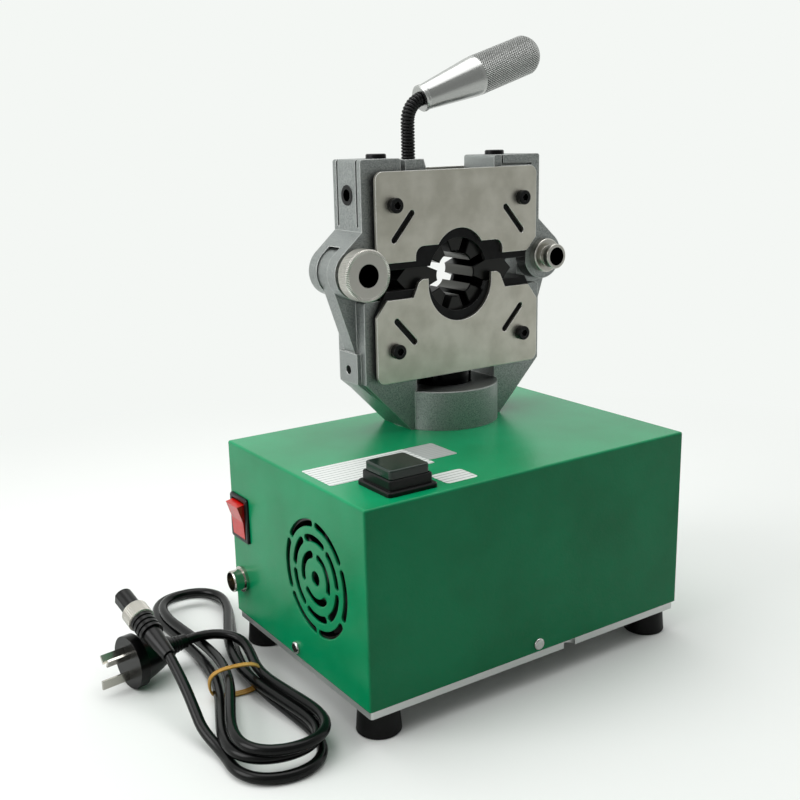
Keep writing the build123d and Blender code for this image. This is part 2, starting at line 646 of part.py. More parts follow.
def make_hinge_pin():
    """Headed pin with a wide knurled rim and a blind tapped hole, pressed into the lower knuckle."""
    head_front = -32.5
    head_back = -21.5
    head = head_rod(-PIN_X, 0, 18.0, head_front, head_back)
    rims = head.edges().filter_by(GeomType.CIRCLE)
    head = chamfer(rims, 0.8)
    collar = head_rod(-PIN_X, 0, 13.0, head_back, -YOKE_HALF_DEPTH - 0.15)
    shaft = head_rod(-PIN_X, 0, HINGE_PIN_R, -YOKE_HALF_DEPTH - 0.15, YOKE_HALF_DEPTH + 0.6)
    pin = head + collar + shaft
    return pin - head_rod(-PIN_X, 0, 8.0, head_front, head_front + 26.0)


def make_lock_pin():
    """Pull-out lock pin: flange against the yoke, waisted neck and a hollow end to grip."""
    shaft = head_rod(PIN_X, 0, LOCK_PIN_R, -YOKE_HALF_DEPTH - 0.15, YOKE_HALF_DEPTH + 0.6)
    shaft = chamfer(shaft.edges().filter_by(GeomType.CIRCLE).sort_by(Axis.Y)[-1], 1.2)
    flange = head_rod(PIN_X, 0, 12.8, -24.0, -YOKE_HALF_DEPTH - 0.15)
    flange = fillet(flange.edges().filter_by(GeomType.CIRCLE).sort_by(Axis.Y)[0], 1.2)
    neck = head_rod(PIN_X, 0, 7.4, -28.2, -24.0)
    tip = head_rod(PIN_X, 0, 9.4, -34.0, -28.2)
    tip = fillet(tip.edges().filter_by(GeomType.CIRCLE), 1.0)
    return shaft + flange + neck + tip - head_rod(PIN_X, 0, 6.8, -34.0, -20.0)


# ---- Crimping head: carriers, backings and plates --------------------------------------------------------------------------------
def recess_corners(clearance=0.0):
    """Right half of the die recess of a carrier, about the closed middle, from the top down."""
    back = DIE_BACK - clearance
    side = DIE_SIDE_BACK - clearance
    eighth = math.radians(22.5)
    shoulder = back * math.tan(eighth)
    slope = back / math.cos(eighth)
    # Where the 67.5 degree face meets the 45 degree face.
    total = side * math.sqrt(2)
    knee_z = (slope - total * math.sin(eighth)) / (math.cos(eighth) - math.sin(eighth))
    return [(shoulder, back), (total - knee_z, knee_z), (total, 0.0)]


def recess_face(clearance=0.0):
    right = recess_corners(clearance)
    left = [(-x, z) for x, z in reversed(right)]
    lower = [(x, -z) for x, z in right[:-1]]
    lower_left = [(-x, -z) for x, z in reversed(right[:-1])]
    return outline(*left, *right, *reversed(lower), *reversed(lower_left))


CARRIER_TOP = WINDOW_TOP


def make_upper_carrier():
    """Hardened block that backs the upper dies, fixed in the arch."""
    face = Pos(0, (CARRIER_TOP + 0.1) / 2) * Rectangle(2 * CARRIER_HALF_WIDTH, CARRIER_TOP - 0.1)
    block = head_slab(face - recess_face(), -CARRIER_HALF_DEPTH, CARRIER_HALF_DEPTH)
    for x in TOP_SCREW_X:
        block -= upright(HEAD_X + x, HEAD_Y, HEAD_Z + 41, HEAD_Z + CARRIER_TOP + 1, 4.0)
    return block - screw_shanks(PLATE_SCREW_UPPER_Z)


def make_lower_carrier():
    """Matching block on the ram, drawn closed and then lowered by the stroke."""
    bottom = CARRIER_BOTTOM + STROKE
    face = Pos(0, (bottom - 0.1) / 2) * Rectangle(2 * CARRIER_HALF_WIDTH, -0.1 - bottom)
    block = head_slab(face - recess_face(), -CARRIER_HALF_DEPTH, CARRIER_HALF_DEPTH)
    return Pos(0, 0, -STROKE) * block - screw_shanks(PLATE_SCREW_LOWER_Z)


SHANK_DEPTH = 10.0
PLATE_OUT = CARRIER_HALF_DEPTH + BACKING_T + PLATE_T


def screw_shanks(z):
    """Shanks of the four plate screws at one level, two in front and two behind."""
    shanks = []
    for x in (-PLATE_SCREW_X, PLATE_SCREW_X):
        shanks.append(head_rod(x, z, PLATE_SCREW_R, -PLATE_OUT, -PLATE_OUT + 6 + SHANK_DEPTH))
        shanks.append(head_rod(x, z, PLATE_SCREW_R, PLATE_OUT - 6 - SHANK_DEPTH, PLATE_OUT))
    return solids_of(*shanks)


def make_plate_screws(z):
    """Socket-head cap screws through the plates into the carrier."""
    screws = []
    key = RegularPolygon(2.9, 6)
    for x in (-PLATE_SCREW_X, PLATE_SCREW_X):
        for side in (-1, 1):
            outer = side * (PLATE_OUT + PLATE_SCREW_HEAD_T)
            low, high = sorted((side * PLATE_OUT, outer))
            head = head_rod(x, z, PLATE_SCREW_HEAD_R, low, high)
            rim = head.edges().filter_by(GeomType.CIRCLE).sort_by(Axis.Y)[0 if side < 0 else -1]
            head = fillet(rim, 0.9)
            low, high = sorted((side * (PLATE_OUT - 6 - SHANK_DEPTH), side * PLATE_OUT))
            head += head_rod(x, z, PLATE_SCREW_R, low, high)
            low, high = sorted((outer, outer - side * 4.0))
            screws.append(head - head_slab(Pos(x, z) * key, low, high))
    return solids_of(*screws)


DIE_OPEN_Z = -STROKE / 2
BACKING_BORE_R = 26.5


def upper_backing_face():
    face = mirrored((-70.3, 66.8), (-70.3, 16.5), (-61.8, 1.0))
    face = rounded(face, 5.0, lambda v: v.Y > 60)
    return face - Pos(0, DIE_OPEN_Z) * Circle(BACKING_BORE_R)


def lower_backing_face():
    face = mirrored((-63.2, -STROKE - 0.2), (-71.8, -30.5), (-71.8, -78.0))
    face = rounded(face, 5.0, lambda v: v.Y < -70)
    return face - Pos(0, DIE_OPEN_Z) * Circle(BACKING_BORE_R)


def make_backings(face, screw_z):
    """Black keeper plates in front of and behind a carrier."""
    front = head_slab(face, -CARRIER_HALF_DEPTH - BACKING_T, -CARRIER_HALF_DEPTH)
    rear = head_slab(face, CARRIER_HALF_DEPTH, CARRIER_HALF_DEPTH + BACKING_T)
    return solids_of(front, rear) - screw_shanks(screw_z)


UPPER_SLOT = ((42.0, 39.2), (57.2, 21.5))
LOWER_SLOT = ((56.3, -35.5), (41.3, -51.7))
SLOT_W = 4.6


def slot_between(start, end):
    return SlotCenterToCenter(
        math.dist(start, end), SLOT_W,
        rotation=math.degrees(math.atan2(end[1] - start[1], end[0] - start[0])),
    )


def guide_slots(ends):
    slots = Sketch()
    for side in (-1, 1):
        start, end = [(side * x, z) for x, z in ends]
        middle = ((start[0] + end[0]) / 2, (start[1] + end[1]) / 2)
        slots += Pos(*middle) * slot_between(start, end)
    return slots


def upper_plate_face():
    """Ground plate over the upper dies: arched, with shoulder notches for the lower plate's horns."""
    face = mirrored((-71.5, 68.2), (-71.5, 15.5), (-62.7, 5.8))
    face = rounded(face, 6.0, lambda v: v.Y > 60)
    notch = Pos(0, 3.0) * Rectangle(78.4, 26.0)
    notch = rounded(notch, 7.0, lambda v: v.Y > 10)
    arch = Pos(0, 3.6) * Circle(23.1)
    return face - (notch + arch) - guide_slots(UPPER_SLOT)


def lower_plate_face():
    """Ground plate over the lower dies: a round mouth between two horns."""
    face = mirrored(
        (-29.4, -7.6), (-33.6, -7.6), (-36.9, -9.8), (-41.6, -20.0), (-64.2, -20.0), (-73.0, -31.5), (-73.0, -79.3)
    )
    face = rounded(face, 6.0, lambda v: v.Y < -75)
    mouth = Pos(0, -12.0) * Circle(28.6) + Pos(0, -6.0) * Rectangle(57.2, 12.0)
    return face - mouth - guide_slots(LOWER_SLOT)


def make_plate(face, side, screw_z):
    """One ground plate, in front of the head (side -1) or behind it (side 1)."""
    inner = CARRIER_HALF_DEPTH + BACKING_T
    low, high = sorted((side * inner, side * (inner + PLATE_T)))
    return head_slab(face, low, high) - screw_shanks(screw_z)


# ---- Crimping head: the dies -----------------------------------------------------------------------------------------------------------
def die_offset(angle):
    """Travel of the die at this angle from closed to open, measured against the upper yoke."""
    turn = math.radians(angle)
    half = STROKE / 2
    return half * math.cos(turn), -half * (1 - math.sin(turn))


def make_die(angle):
    """One die segment: a 45 degree wedge with a round working face, at its open place."""
    turn = math.radians(angle)
    apex = DIE_GAP / 2 / math.sin(math.radians(22.5))
    reach = 90.0
    wedge = [(apex * math.cos(turn), apex * math.sin(turn))]
    for offset in (-22.5, 22.5):
        edge = math.radians(angle + offset)
        wedge.append((wedge[0][0] + reach * math.cos(edge), wedge[0][1] + reach * math.sin(edge)))
    face = outline(*wedge) & recess_face(0.05)
    die = head_slab(face - Circle(DIE_CLOSED_R), -DIE_HALF_DEPTH, DIE_HALF_DEPTH)
    for y, pick in ((-DIE_HALF_DEPTH, 0), (DIE_HALF_DEPTH, -1)):
        die = chamfer(die.faces().sort_by(Axis.Y)[pick].edges(), DIE_CHAMFER)
    x, z = die_offset(angle)
    return Pos(x, 0, z) * die


DIES = {
    "die_right": 0,
    "die_upper_right": 45,
    "die_top": 90,
    "die_upper_left": 135,
    "die_left": 180,
    "die_lower_left": 225,
    "die_bottom": 270,
    "die_lower_right": 315,
}


# ---- Handle -----------------------------------------------------------------------------------------------------------------------------------
def handle_wire(start_z):
    """Middle line of the gooseneck: straight up, then bent over to the grip's slope."""
    plane = head_plane(HANDLE_Y)
    turn = 90 - GRIP_TILT
    bend_start = (HANDLE_X, GOOSENECK_BEND_Z)
    rise = Line((HANDLE_X, start_z), bend_start)
    bend = TangentArc(bend_start, bend_point(turn), tangent=(0, 1))
    end = bend_point(turn)
    tip = (end[0] + 8 * math.cos(math.radians(GRIP_TILT)), end[1] + 8 * math.sin(math.radians(GRIP_TILT)))
    return plane * Wire([rise, bend, Line(end, tip)])


def bend_point(turn):
    angle = math.radians(turn)
    return (
        HANDLE_X + GOOSENECK_BEND_R * (1 - math.cos(angle)),
        GOOSENECK_BEND_Z + GOOSENECK_BEND_R * math.sin(angle),
    )


def swept_tube(wire, radius):
    start = Plane(origin=wire @ 0, z_dir=wire % 0)
    return sweep(start * Circle(radius), path=wire)


def make_gooseneck():
    """Spring-covered flexible neck, drawn as its outside."""
    neck = swept_tube(handle_wire(HORN_TOP - 1), GOOSENECK_R)
    stub = upright(HEAD_X + HANDLE_X, HEAD_Y + HANDLE_Y, HEAD_Z + 62, HEAD_Z + HORN_TOP - 1, GOOSENECK_R - 1.1)
    return neck + stub


def grip_plane():
    end = bend_point(90 - GRIP_TILT)
    tilt = math.radians(GRIP_TILT)
    origin = (HEAD_X + end[0], HEAD_Y + HANDLE_Y, HEAD_Z + end[1])
    return Plane(origin=origin, z_dir=(math.cos(tilt), 0, math.sin(tilt)))


def make_handle_grip():
    """Turned grip: rim, cone, knurled barrel and domed end, bored for the gooseneck."""
    length = GRIP_CONE_L + GRIP_KNURL_L
    dome = 9.0
    profile = [
        (0, 0), (GRIP_R_SMALL - 0.8, 0), (GRIP_R_SMALL, 0.8), (GRIP_R_SMALL, 2.4), (GRIP_R_SMALL - 0.6, 3.2),
        (GRIP_R_SMALL - 0.4, 4.2), (GRIP_R - 0.2, GRIP_CONE_L - 3), (GRIP_R - 0.2, GRIP_CONE_L), (GRIP_R, GRIP_CONE_L + 0.6),
        (GRIP_R, length - 0.6),
    ]
    cap = ThreePointArc((GRIP_R, length - 0.6), (GRIP_R * 0.8, length + dome * 0.5), (GRIP_R * 0.42, length + dome * 0.94))
    close = Polyline((GRIP_R * 0.42, length + dome * 0.94), (0, length + dome), (0, 0))
    face = make_face([*Polyline(*profile).edges(), *cap.edges(), *close.edges()])
    grip = revolve(Plane.XZ * face, Axis.Z)
    grip -= Pos(0, 0, 4.0) * Cylinder(GOOSENECK_R, 8.0)
    return grip_plane() * grip


# ---- Detached power cord -------------------------------------------------------------------------------------------------------------------------
# The hank lies beside the left-hand panel, tied at its waist. It is measured along a line from its lower
# loop to its upper loop: share of that length, then the reach to the left and to the right of the line.
HANK_START = (-192.0, -96.0)
HANK_END = (-138.0, 186.0)
HANK_REACH = ((0.1, 20.0, 40.0), (0.22, 25.0, 44.0), (0.39, 18.0, 18.0), (0.6, 16.0, 17.0), (0.88, 27.0, 25.0))
BAND_AT = 0.39
BAND_W = 5.0
BAND_T = 1.4


def hank_point(along, across):
    """Point in plan at a share of the hank's length and a distance to its left."""
    dx = HANK_END[0] - HANK_START[0]
    dy = HANK_END[1] - HANK_START[1]
    length = math.hypot(dx, dy)
    return (
        HANK_START[0] + dx * along - dy / length * across,
        HANK_START[1] + dy * along + dx / length * across,
    )


def make_cord_hank():
    """Outer shape of the tied hank: a broad lower loop, a waist and a narrower upper loop."""
    left = [hank_point(share, reach) for share, reach, _ in HANK_REACH]
    right = [hank_point(share, -reach) for share, _, reach in reversed(HANK_REACH)]
    face = make_face(Spline(HANK_START, *left, HANK_END, *right, periodic=True))
    hank = extrude(face, HANK_H)
    hank = chamfer(hank.edges().group_by(Axis.Z)[-1], 4.0)
    return hank - make_rubber_band()


def hank_plane(along):
    x, y = hank_point(along, 0)
    dx = HANK_END[0] - HANK_START[0]
    dy = HANK_END[1] - HANK_START[1]
    return Plane(origin=(x, y, 0), x_dir=(-dy, dx, 0), z_dir=(dx, dy, 0))


def make_rubber_band():
    """Elastic band round the waist of the hank, sunk into it."""
    half = 17.5
    outer = Pos(0, (HANK_H + BAND_T) / 2) * Rectangle(2 * (half + BAND_T), HANK_H + BAND_T)
    inner = Pos(0, (HANK_H + BAND_T) / 2) * Rectangle(2 * half, HANK_H - BAND_T)
    section = rounded(outer, 6.0) - rounded(inner, 4.6)
    return extrude(hank_plane(BAND_AT) * section, BAND_W / 2, both=True)


PLUG_FACE = Vector(-226.0, 67.0, 18.6)
PLUG_AXIS = Vector(0.988, 0.156, 0).normalized()
PLUG_R = 18.5
PLUG_BODY_L = 33.0
RELIEF_L = 12.0

CONNECTOR_NOSE = Vector(-217.0, 93.0, 55.5)
CONNECTOR_TAIL = Vector(-210.7, 27.7, 35.5)
NOSE_L = 17.0
RING_L = 12.0
SHELL_L = 15.0


def plug_plane(distance):
    return Plane(origin=PLUG_FACE + PLUG_AXIS * distance, x_dir=(0, 0, 1), z_dir=PLUG_AXIS)


def make_plug_body():
    """Moulded three-pin plug: a round face on a body that narrows to the cord."""
    disc = extrude(plug_plane(0) * Circle(PLUG_R), 7.0)
    body = loft([plug_plane(7.0) * Circle(PLUG_R - 1.5), plug_plane(20.0) * Circle(13.0), plug_plane(PLUG_BODY_L) * Circle(7.5)])
    return disc + body


def make_plug_pins():
    """Two slanted flat pins and one upright earth pin."""
    pins = []
    for angle, reach, length in ((30.0, 7.9, 17.0), (-30.0, 7.9, 17.0), (180.0, 9.5, 20.0)):
        turn = angle if length < 20 else 0.0
        place = Pos(reach * math.cos(math.radians(angle)), reach * math.sin(math.radians(angle)))
        pins.append(extrude(plug_plane(0) * place * Rot(0, 0, turn + 90) * Rectangle(1.6, 6.3), -length))
    return solids_of(*pins)


def make_plug_relief():
    relief = extrude(plug_plane(PLUG_BODY_L) * Circle(5.6), RELIEF_L, taper=2.5)
    return relief


def connector_axis():
    return (CONNECTOR_TAIL - CONNECTOR_NOSE).normalized()


def connector_plane(distance):
    return Plane(origin=CONNECTOR_NOSE + connector_axis() * distance, x_dir=(1, 0, 0), z_dir=connector_axis())


def connector_length():
    return (CONNECTOR_TAIL - CONNECTOR_NOSE).length


def make_connector_body():
    """Keyed black nose and ribbed shell of the cord's connector, in one moulding."""
    nose = extrude(connector_plane(0) * (Circle(6.7) & Rectangle(12.0, 15.0)), NOSE_L)
    nose -= extrude(connector_plane(0) * Circle(4.6), 9.0)
    shell = extrude(connector_plane(NOSE_L) * Circle(6.4), RING_L + 0.01)
    shell += extrude(connector_plane(NOSE_L + RING_L) * Circle(8.2), SHELL_L)
    for k in range(3):
        at = NOSE_L + RING_L + 2.5 + 4.2 * k
        shell -= extrude(connector_plane(at) * (Circle(9.0) - Circle(7.3)), 1.6)
    return nose + shell


def make_connector_ring():
    """Knurled coupling ring, free on the connector's neck."""
    ring = extrude(connector_plane(NOSE_L) * Circle(9.3), RING_L)
    ring = chamfer(ring.edges().filter_by(GeomType.CIRCLE), 0.8)
    return ring - extrude(connector_plane(NOSE_L) * Circle(6.4), RING_L)


def make_connector_boot():
    start = NOSE_L + RING_L + SHELL_L
    length = connector_length() - start
    return loft([connector_plane(start) * Circle(6.6), connector_plane(start + length) * Circle(4.6)])


# Each lead starts square to the boot or relief that it leaves and ends inside the hank.
LEAD_STEP = 14.0
CONNECTOR_ROUTE = ((-205.0, 1.0, 24.0), (-199.0, -12.0, 17.0), (-191.0, -23.0, 13.0))
PLUG_ROUTE = ((-164.3, 75.0, 16.5),)


def connector_lead_points():
    start = CONNECTOR_TAIL
    return [tuple(start), tuple(start + connector_axis() * LEAD_STEP), *CONNECTOR_ROUTE]


def plug_lead_points():
    start = PLUG_FACE + PLUG_AXIS * (PLUG_BODY_L + RELIEF_L)
    return [tuple(start), tuple(start + PLUG_AXIS * LEAD_STEP * 0.6), *PLUG_ROUTE]


def cord_radii(points):
    """Bend radius at each inner point: 0.45 of the shorter run over the tangent of half the turn."""
    radii = []
    for a, b, c in zip(points, points[1:], points[2:]):
        first = Vector(*b) - Vector(*a)
        second = Vector(*c) - Vector(*b)
        turn = math.radians(first.get_angle(second))
        radii.append(0.45 * min(first.length, second.length) / math.tan(turn / 2))
    return radii


def make_cord_tube(points):
    radii = cord_radii(points)
    print("cord radii", [round(r, 1) for r in radii])
    wire = FilletPolyline(*points, radius=radii)
    tube = swept_tube(wire, CORD_R)
    section = math.pi * CORD_R**2
    print("cord tube volume", round(tube.volume), "section times length", round(section * wire.length))
    return tube - make_cord_hank()


def build_nodes():
    upper_face = upper_plate_face()
    lower_face = lower_plate_face()
    nodes = {
        "base_plate": make_base_plate(),
        "feet": make_feet(),
        "foot_screws": make_foot_screws(),
        "cover": make_cover(),
        "cover_brackets": make_cover_brackets(),
        "cover_screws": make_cover_screws(),
        "fan_frame": make_fan_frame(),
        "fan_rotor": make_fan_rotor(),
        "rocker_bezel": make_rocker_bezel(),
        "rocker": make_rocker(),
        "socket_shell": make_socket_shell(),
        "socket_nut": make_socket_nut(),
        "socket_pins": make_socket_pins(),
        "button_housing": make_button_housing(),
        "button_cap": make_button_cap(),
        "motor": make_motor(),
        "pump_block": make_pump_block(),
        "oil_tank": make_oil_tank(),
        "pressure_pipe": make_pressure_pipe(),
        "control_board": make_control_board(),
        "cylinder_barrel": make_cylinder_barrel(),
        "ram": make_ram(),
        "lower_yoke": make_lower_yoke(),
        "upper_yoke": make_upper_yoke(),
        "top_screws": make_top_screws(),
        "side_bushes": make_side_bushes(),
        "hinge_pin": make_hinge_pin(),
        "lock_pin": make_lock_pin(),
        "upper_carrier": make_upper_carrier(),
        "lower_carrier": make_lower_carrier(),
        "upper_backings": make_backings(upper_backing_face(), PLATE_SCREW_UPPER_Z),
        "lower_backings": make_backings(lower_backing_face(), PLATE_SCREW_LOWER_Z),
        "upper_front_plate": make_plate(upper_face, -1, PLATE_SCREW_UPPER_Z),
        "upper_rear_plate": make_plate(upper_face, 1, PLATE_SCREW_UPPER_Z),
        "lower_front_plate": make_plate(lower_face, -1, PLATE_SCREW_LOWER_Z),
        "lower_rear_plate": make_plate(lower_face, 1, PLATE_SCREW_LOWER_Z),
        "upper_plate_screws": make_plate_screws(PLATE_SCREW_UPPER_Z),
        "lower_plate_screws": make_plate_screws(PLATE_SCREW_LOWER_Z),
        "gooseneck": make_gooseneck(),
        "handle_grip": make_handle_grip(),
        "cord_hank": make_cord_hank(),
        "rubber_band": make_rubber_band(),
        "cord_connector_lead": make_cord_tube(connector_lead_points()),
        "cord_plug_lead": make_cord_tube(plug_lead_points()),
        "plug_body": make_plug_body(),
        "plug_pins": make_plug_pins(),
        "plug_relief": make_plug_relief(),
        "connector_body": make_connector_body(),
        "connector_ring": make_connector_ring(),
        "connector_boot": make_connector_boot(),
    }
    for name, angle in DIES.items():
        nodes[name] = make_die(angle)
    return nodes


def main():
    os.makedirs("parts", exist_ok=True)
    for name, shape in build_nodes().items():
        export_step(shape, f"parts/{name}.step")


main()
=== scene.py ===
import json
import math

import bmesh
import bpy
from mathutils import Euler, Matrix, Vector

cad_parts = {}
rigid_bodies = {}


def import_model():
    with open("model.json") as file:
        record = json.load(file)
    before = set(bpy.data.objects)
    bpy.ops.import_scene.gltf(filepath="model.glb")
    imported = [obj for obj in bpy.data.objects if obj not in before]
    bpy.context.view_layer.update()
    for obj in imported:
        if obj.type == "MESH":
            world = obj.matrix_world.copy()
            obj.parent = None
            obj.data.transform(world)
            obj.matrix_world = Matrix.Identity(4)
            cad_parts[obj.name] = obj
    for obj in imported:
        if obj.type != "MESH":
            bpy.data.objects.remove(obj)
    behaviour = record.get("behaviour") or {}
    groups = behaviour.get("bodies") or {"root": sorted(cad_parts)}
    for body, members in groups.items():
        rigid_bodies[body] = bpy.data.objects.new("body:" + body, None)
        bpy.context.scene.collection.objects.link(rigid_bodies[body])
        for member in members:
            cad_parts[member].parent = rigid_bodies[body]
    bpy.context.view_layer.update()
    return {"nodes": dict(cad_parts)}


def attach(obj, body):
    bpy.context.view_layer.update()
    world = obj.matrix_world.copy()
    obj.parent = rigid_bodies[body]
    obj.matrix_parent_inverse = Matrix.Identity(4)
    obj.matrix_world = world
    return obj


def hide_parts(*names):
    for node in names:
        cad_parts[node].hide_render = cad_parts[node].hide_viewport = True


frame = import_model()

nodes = frame["nodes"]
MM = 0.001


def pick(piece):
    """Selects one piece and nothing else."""
    for other in bpy.context.view_layer.objects:
        other.select_set(False)
    piece.select_set(True)
    bpy.context.view_layer.objects.active = piece


# ---- Camera ------------------------------------------------------------------------------------------------
camera_data = bpy.data.cameras.new("studio_camera")
camera_data.lens = 47.5
camera_data.sensor_width = 36.0
camera = bpy.data.objects.new("studio_camera", camera_data)
camera.location = (-0.4327, -0.5848, 0.3654)
camera.rotation_euler = Euler([math.radians(a) for a in (75.837, 1.210, -34.016)])
bpy.context.scene.collection.objects.link(camera)
bpy.context.scene.camera = camera


# ---- Power cord --------------------------------------------------------------------------------------------
# The hank is measured as its solid is: along a line from its lower loop to its upper loop.
HANK_START = Vector((-192.0, -96.0, 0.0))
HANK_END = Vector((-138.0, 186.0, 0.0))
CORD_D = 7.0


def hank_point(along, across, height):
    """A point by its share of the hank's length, its distance to the left and its height."""
    line = HANK_END - HANK_START
    left = Vector((-line.y, line.x, 0.0)).normalized()
    point = HANK_START + line * along + left * across
    return Vector((point.x, point.y, height))


def between(value, stops):
    """Runs smoothly through (place, height) stops."""
    for (x0, y0), (x1, y1) in zip(stops, stops[1:]):
        if value <= x1:
            part = max(0.0, (value - x0) / (x1 - x0))
            return y0 + (y1 - y0) * part * part * (3 - 2 * part)
    return stops[-1][1]


# The hank's shape, as (turns, value) stops. Turn 0 starts at the bottom of the lower loop, and turn 1 nests
# inside it at the waist. WAIST is half the width between strands there and LOBE how far the loops swell, in
# mm. BOTTOM and TOP are the loops' ends along the hank. LAYER is height and SWING a drift sideways, in mm.
WAIST = ((0.25, 10.8), (0.75, 10.8), (1.25, 5.2), (1.75, 5.2), (2.2, 11.0))
LOBE = ((0.0, 14.2), (1.0, 14.8), (2.0, 14.6))
BOTTOM = ((-0.2, 0.005), (0.4, 0.005), (1.0, 0.04), (1.6, 0.04), (2.0, 0.025))
TOP = ((0.0, 0.985), (0.75, 0.985), (1.3, 0.93), (2.5, 0.93))
LAYER = (
    (-0.2, 3.9), (-0.02, 3.7), (0.7, 3.7), (0.9, 10.8), (1.66, 10.8), (1.86, 17.6), (2.06, 17.6), (2.24, 14.4),
    (3.0, 14.4),
)
SWING = ((0.0, -3.5), (1.0, -5.0), (2.0, -8.0))
LOWER_WIDER = 1.0
WAIST_DROP = 0.06
FIRST_TURN, LAST_TURN = -0.13, 2.21
STEPS_PER_TURN = 24


def turn_point(turns):
    """A point of the hank: two loops with a waist between them."""
    angle = 2 * math.pi * turns
    lobe = between(turns, LOBE)
    wide = (between(turns, WAIST) + lobe) * math.sin(angle)
    wide += LOWER_WIDER * math.sin(2 * angle) + lobe * math.sin(3 * angle)
    middle = between(turns, SWING) * ((1 + math.cos(angle)) / 2) ** 2
    low, high = between(turns, BOTTOM), between(turns, TOP)
    rise = (1 - math.cos(angle)) / 2
    rise -= WAIST_DROP * rise * (1 - rise)
    along = low + (high - low) * rise
    return hank_point(along, middle - wide, between(turns, LAYER))


def cord_route():
    """Middle line of the whole cord, connector to plug, in millimetres."""
    start = [
        (-210.7, 27.7, 35.5), (-210.8, 14.4, 30.0), (-211.2, 0.0, 23.2), (-212.2, -14.0, 16.0),
        (-213.4, -28.0, 9.2),
    ]
    points = [Vector(p) for p in start]
    for k in range(round(FIRST_TURN * STEPS_PER_TURN), round(LAST_TURN * STEPS_PER_TURN) + 1):
        points.append(turn_point(k / STEPS_PER_TURN))
    end = [
        (-153.6, 18.0, 14.4), (-149.8, 32.0, 14.5), (-146.6, 46.2, 15.2), (-146.4, 54.8, 16.2),
        (-149.3, 62.8, 17.2), (-154.8, 69.3, 17.9), (-162.1, 73.5, 18.3), (-170.5, 75.0, 18.6),
        (-177.5, 74.5, 18.6), (-181.54, 74.02, 18.6),
    ]
    points += [Vector(p) for p in end]
    return [p * MM for p in points]


def make_cord(points):
    """One smooth tube through the whole route; each point's radius is the cord's own."""
    curve = bpy.data.curves.new("power_cord", "CURVE")
    curve.dimensions = "3D"
    curve.resolution_u = 10
    curve.bevel_depth = 1.0
    curve.bevel_resolution = 5
    curve.use_fill_caps = True
    spline = curve.splines.new("NURBS")
    spline.points.add(len(points) - 1)
    for control, point in zip(spline.points, points):
        control.co = (*point, 1.0)
        control.radius = CORD_D / 2 * MM
    spline.order_u = 3
    spline.use_endpoint_u = True
    cord = bpy.data.objects.new("power_cord", curve)
    bpy.context.scene.collection.objects.link(cord)
    return cord


power_cord = make_cord(cord_route())
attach(power_cord, "base")
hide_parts("cord_hank", "cord_connector_lead", "cord_plug_lead")


# ---- Node helpers ------------------------------------------------------------------------------------------
def paint(code, alpha=1.0):
    """sRGB hex to a linear colour."""
    values = [int(code[k : k + 2], 16) / 255 for k in (1, 3, 5)]
    linear = [v / 12.92 if v <= 0.04045 else ((v + 0.055) / 1.055) ** 2.4 for v in values]
    return (*linear, alpha)


def add(tree, kind, sockets=None, **settings):
    """A node with its settings; each socket gets a value or, from another node's output, a link."""
    node = tree.nodes.new(kind)
    for key, value in settings.items():
        setattr(node, key, value)
    for key, value in (sockets or {}).items():
        if isinstance(value, bpy.types.NodeSocket):
            tree.links.new(value, node.inputs[key])
        else:
            node.inputs[key].default_value = value
    return node


def shader(name, colour, metallic, roughness):
    """An empty material with a surface, and its place on the piece in metres."""
    material = bpy.data.materials.new(name)
    material.use_nodes = True
    tree = material.node_tree
    tree.nodes.clear()
    sockets = {"Base Color": paint(colour), "Metallic": metallic, "Roughness": roughness}
    surface = add(tree, "ShaderNodeBsdfPrincipled", sockets)
    add(tree, "ShaderNodeOutputMaterial", {"Surface": surface.outputs["BSDF"]})
    place = add(tree, "ShaderNodeTexCoord").outputs["Object"]
    return material, tree, surface, place


def blotches(tree, place, size_mm, low, high, detail=3.0):
    """Colour that wanders between two close shades over patches of this size."""
    noise = add(tree, "ShaderNodeTexNoise", {"Vector": place, "Scale": 1 / (size_mm * MM), "Detail": detail})
    ramp = add(tree, "ShaderNodeValToRGB", {"Fac": noise.outputs["Fac"]})
    ramp.color_ramp.elements[0].position = 0.35
    ramp.color_ramp.elements[1].position = 0.65
    ramp.color_ramp.elements[0].color = paint(low)
    ramp.color_ramp.elements[1].color = paint(high)
    return ramp.outputs["Color"]


def spread(tree, value, low, high):
    """Turns 0 to 1 into low to high."""
    return add(tree, "ShaderNodeMapRange", {"Value": value, "To Min": low, "To Max": high}).outputs["Result"]


def relief(tree, surface, height, depth_mm, strength=1.0, edge_mm=0.3):
    """Bump on top of edges that catch the light as if they had been broken."""
    edge = add(tree, "ShaderNodeBevel", {"Radius": edge_mm * MM}, samples=4).outputs["Normal"]
    sockets = {"Height": height, "Distance": depth_mm * MM, "Strength": strength, "Normal": edge}
    bump = add(tree, "ShaderNodeBump", sockets)
    tree.links.new(bump.outputs["Normal"], surface.inputs["Normal"])


def at_edges(tree, radius_mm):
    """1 along outer edges and 0 on the open faces: the mask through which the materials paint highlights along
    edges.
    """
    edge = add(tree, "ShaderNodeBevel", {"Radius": radius_mm * MM}, samples=4).outputs["Normal"]
    plain = add(tree, "ShaderNodeNewGeometry").outputs["Normal"]
    same = add(tree, "ShaderNodeVectorMath", {0: edge, 1: plain}, operation="DOT_PRODUCT").outputs["Value"]
    return band(tree, same, 0.99, 0.86)


def band(tree, value, low, high):
    """0 up to low and 1 from high on."""
    return add(tree, "ShaderNodeMapRange", {"Value": value, "From Min": low, "From Max": high}).outputs["Result"]


